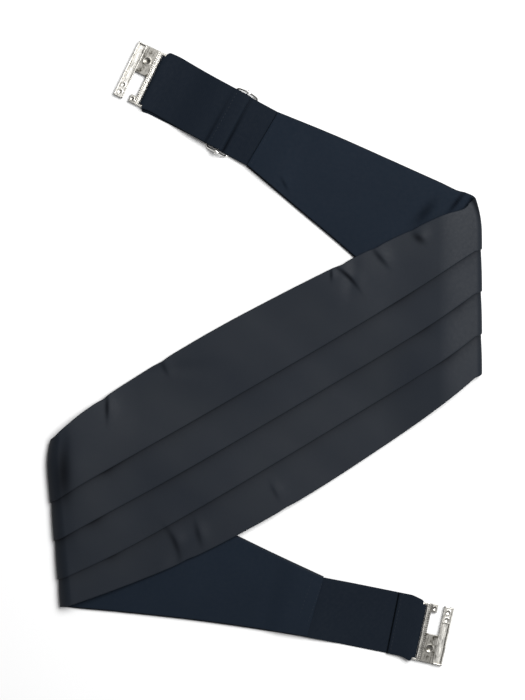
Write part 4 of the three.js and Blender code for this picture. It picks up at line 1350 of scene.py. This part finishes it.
def rounded_bar(x, y, z, to_end, relief, dull_and_shade):
    """A bar along y. Its section is the box x by z with round corners, and near both ends the
    section shrinks in the same way. relief(x, y) is added to its upper side. Also returns how
    much darker and rougher its points are, painted shade included."""
    (x0, x1), (y0, y1), (z0, z1) = x, y, z
    radius = min(BAR_ROUND, (z1 - z0) / LEAST_BOX, (x1 - x0) / LEAST_BOX)
    over_x, drop = rounded_span(x0, x1, radius, max(4, int((x1 - x0) / BAR_STEPS[0])))
    over_y, less = rounded_span(y0, y1, radius, max(6, int((y1 - y0) / BAR_STEPS[1])))
    less = less[:, None]
    middle = (x0 + x1) / 2
    xs = middle + (over_x - middle) * (1 - less / ((x1 - x0) / 2))
    ys = np.broadcast_to(over_y[:, None], xs.shape)
    up = np.maximum((z1 - z0) / 2 - drop - less, 0)
    upper, lower = (z0 + z1) / 2 + up, (z0 + z1) / 2 - up
    if relief is not None:
        inside = np.minimum(np.minimum(xs - x0, x1 - xs), np.minimum(ys - y0, y1 - ys))
        upper = upper + relief(xs, ys) * smooth(inside / radius)
    rings = np.stack([ring_of(xs, xs), ring_of(ys, ys), ring_of(upper, lower)], -1)
    share = dull_and_shade(rings[..., 0], rings[..., 1]) if callable(dull_and_shade) else dull_and_shade
    return carried(to_end(rings), uv=rings[..., :2]), share


def dimple(x0, y0, radius, depth):
    """A round hollow: depth times 1 - (distance / radius)2, with a low rim round it."""
    high, at, wide = RIM

    def relief(x, y):
        far = np.hypot(x - x0, y - y0) / radius
        return -depth * np.clip(1 - far ** 2, 0, 1) + high * bell((far - at) / wide)
    return relief


def ribs(x, y):
    """Three ribs along the rail: the square of a sine across it."""
    return RIDGE_HEIGHT * np.sin(3 * math.pi * (x - RAIL_START) / RAIL_WIDTH) ** 2


# %% Painted shade and bars of a clasp


def corner_shade(x, y):
    """Painted shade along the foot of the channel's walls: exp(-distance to the wall / its width).
    """
    sides = np.minimum(x - CHANNEL_START - CHANNEL_WALL, CHANNEL_END - CHANNEL_WALL - x)
    ends = HALF_CLASP - CHANNEL_WALL - np.abs(y)
    return PAINTED_CORNER_SHADE * np.exp(-np.maximum(np.minimum(sides, ends), 0) / CORNER_SHADE_WIDTH)


def valleys(x, y):
    """Painted shade between fine ribs across the rail, which fade towards the strap: sine squared.
    The cross ribs have no relief of their own.
    """
    far = (x - RAIL_START) / RAIL_WIDTH
    least, more = RIB_SHADE
    steep, late = RIB_FADE
    ribbed = np.sin(math.pi * y / CROSS_RIB_PITCH) ** 2
    return least + more * ribbed * smooth(steep * far - late)


def clasp_parts(to_end):
    """The clasp's bars, and for each how much darker and rougher it is, painted shade included: one
    share, or a function of the place.
    """
    half, start, end, wall = HALF_CLASP, CHANNEL_START, CHANNEL_END, CHANNEL_WALL
    whole, tall = (-half, half), (0.0, CHANNEL_HEIGHT)
    sheet = (WRAP_BAR_HEIGHT - CLASP_SHEET / 2, WRAP_BAR_HEIGHT + CLASP_SHEET / 2)
    link_x = (0.0, RAIL_START + OVERLAP)
    plate_y = (-half, -half + PLATE_LENGTH)
    inner = (start + wall - LAP, end - wall + LAP)
    block_y = (half - wall - BLOCK_LENGTH, half - wall + LAP)
    plate = dimple((RAIL_END + start) / 2, sum(plate_y) / 2, *PLATE_DIMPLE)
    tab = dimple(RAIL_END + TAB_REACH / 2, half - TAB_LENGTH / 2, *TAB_DIMPLE)
    pair = [dimple(sum(inner) / 2, block_y[0] + BLOCK_LENGTH * share, *BLOCK_DIMPLE)
            for share in BLOCK_DIMPLES_AT]
    # The last number of each row says how much darker and rougher the bar is: painted shade at the
    # foot of the channel's walls and between the rail's cross ribs, and an even share for the other
    # bars.
    rows = [
        ((RAIL_START, RAIL_END), whole, sheet, ribs, valleys),
        ((RAIL_END - OVERLAP, start + wall - INSIDE), plate_y, sheet, plate, 0.74),
        (link_x, (-half, -half + LINK_WIDTH), sheet, None, 0.5),
        (link_x, (half - LINK_WIDTH, half), sheet, None, 0.5),
        ((RAIL_END - OVERLAP, RAIL_END + TAB_REACH), (half - TAB_LENGTH, half), sheet, tab, 0.6),
        ((start + INSIDE, end - INSIDE), whole, (0.0, CLASP_SHEET), None, corner_shade),
        ((start, start + wall), whole, tall, None, 0.35),
        ((end - wall, end), whole, tall, None, 0.15),
        ((start, end), (-half, -half + wall), tall, None, 0.3),
        ((start, end), (half - wall, half), tall, None, 0.3),
        (inner, block_y, (BLOCK_FOOT, BLOCK_TOP),
         lambda x, y: sum(one(x, y) for one in pair), 0.3),
    ]
    parts, shares = zip(*[
        rounded_bar(x, y, z, to_end, relief, dull_and_shade) for x, y, z, relief, dull_and_shade in rows])
    y = np.linspace(-half, half, STRAP_BAR_POINTS)
    strap_bar = np.stack([0 * y, y, 0 * y + WRAP_BAR_HEIGHT], -1)
    return [*parts, wire(strap_bar, WRAP_BAR / 2, to_end=to_end)], [*shares, 0]


# %% Both clasps
for name, to_end, lie in (
        ("adjustable_clasp", at_adjustable,
         (ADJUSTABLE_REACH, ADJUSTABLE_CLASP_SIDE, ADJUSTABLE_CLASP_ANGLE)),
        ("fixed_clasp", at_fixed, (FIXED_REACH, FIXED_CLASP_SIDE, FIXED_CLASP_ANGLE))):
    parts, shares = clasp_parts(clasp_frame(to_end, *lie))
    make_piece(name + "_metal", parts, clasp_finish, [name], mask=("dull_and_shade", shares))

# %% [markdown]
# ## What each cloth was cut to
#
# The satin and the lining were cut as long tapered bands, so their flat area is given as
# well: the width added up along the band.

u = np.linspace(-HALF_LENGTH, HALF_LENGTH, 2001)
area = 2 * half_width(u).mean() * BODY_LENGTH * MM * MM
print(f"body cut to {area * 1e4:.0f} cm2")

# %% [markdown]
# ## Floor and light
#
# The cummerbund lies on a plain white surface under soft light that comes mostly from the upper
# right, so that raised edges leave a short grey shadow on their lower left. One large round
# lamp does that. The sky around is dark near the horizon, because the metal mirrors it and
# would be white all over otherwise.

# %% Floor
FLOOR_REACH = 3.0
FLOOR_GREY = 0.84

floor_mesh = bpy.data.meshes.new("white_floor")
floor_mesh.from_pydata(
    [(x * FLOOR_REACH, y * FLOOR_REACH, 0) for x, y in ((-1, -1), (1, -1), (1, 1), (-1, 1))],
    [], [(0, 1, 2, 3)])
floor = bpy.data.objects.new("white_floor", floor_mesh)
bpy.context.scene.collection.objects.link(floor)
floor_finish = bpy.data.materials.new("white_floor")
floor_finish.use_nodes = True
paper = floor_finish.node_tree.nodes["Principled BSDF"]
paper.inputs["Base Color"].default_value = (FLOOR_GREY, FLOOR_GREY, FLOOR_GREY, 1)
paper.inputs["Roughness"].default_value = 0.9
paper.inputs["Specular IOR Level"].default_value = 0.0
floor_mesh.materials.append(floor_finish)

# %% Light
LAMP_SIZE = 1.1
LAMP_AT = (0.62, 0.46, 1.35)
LAMP_POWER = 35.0
SKY_STRENGTH = 0.35
SKY_COLOURS = ((0.0, (0.10, 0.105, 0.115, 1)), (0.8, (1.0, 1.0, 1.0, 1)))

lamp_data = bpy.data.lights.new("window_light", "AREA")
lamp_data.shape = "DISK"
lamp_data.size = LAMP_SIZE
lamp_data.energy = LAMP_POWER
lamp = bpy.data.objects.new("window_light", lamp_data)
lamp.location = LAMP_AT
away = np.array(LAMP_AT) / np.linalg.norm(LAMP_AT)
lamp.rotation_euler = (math.acos(away[2]), 0, math.atan2(away[1], away[0]) + math.pi / 2)
bpy.context.scene.collection.objects.link(lamp)

sky = bpy.data.worlds.new("pale_room")
sky.use_nodes = True
tree = sky.node_tree
direction = add(tree, "ShaderNodeTexCoord").outputs["Generated"]
upward = add(tree, "ShaderNodeSeparateXYZ", {0: direction}).outputs[2]
ramp = add(tree, "ShaderNodeValToRGB", {0: upward})
for element, (position, colour) in zip(ramp.color_ramp.elements, SKY_COLOURS):
    element.position, element.color = position, colour
tree.links.new(ramp.outputs[0], tree.nodes["Background"].inputs["Color"])
tree.nodes["Background"].inputs["Strength"].default_value = SKY_STRENGTH
bpy.context.scene.world = sky
bpy.context.scene.view_settings.view_transform = "Standard"
print(f"lamp {LAMP_POWER:.0f} W")
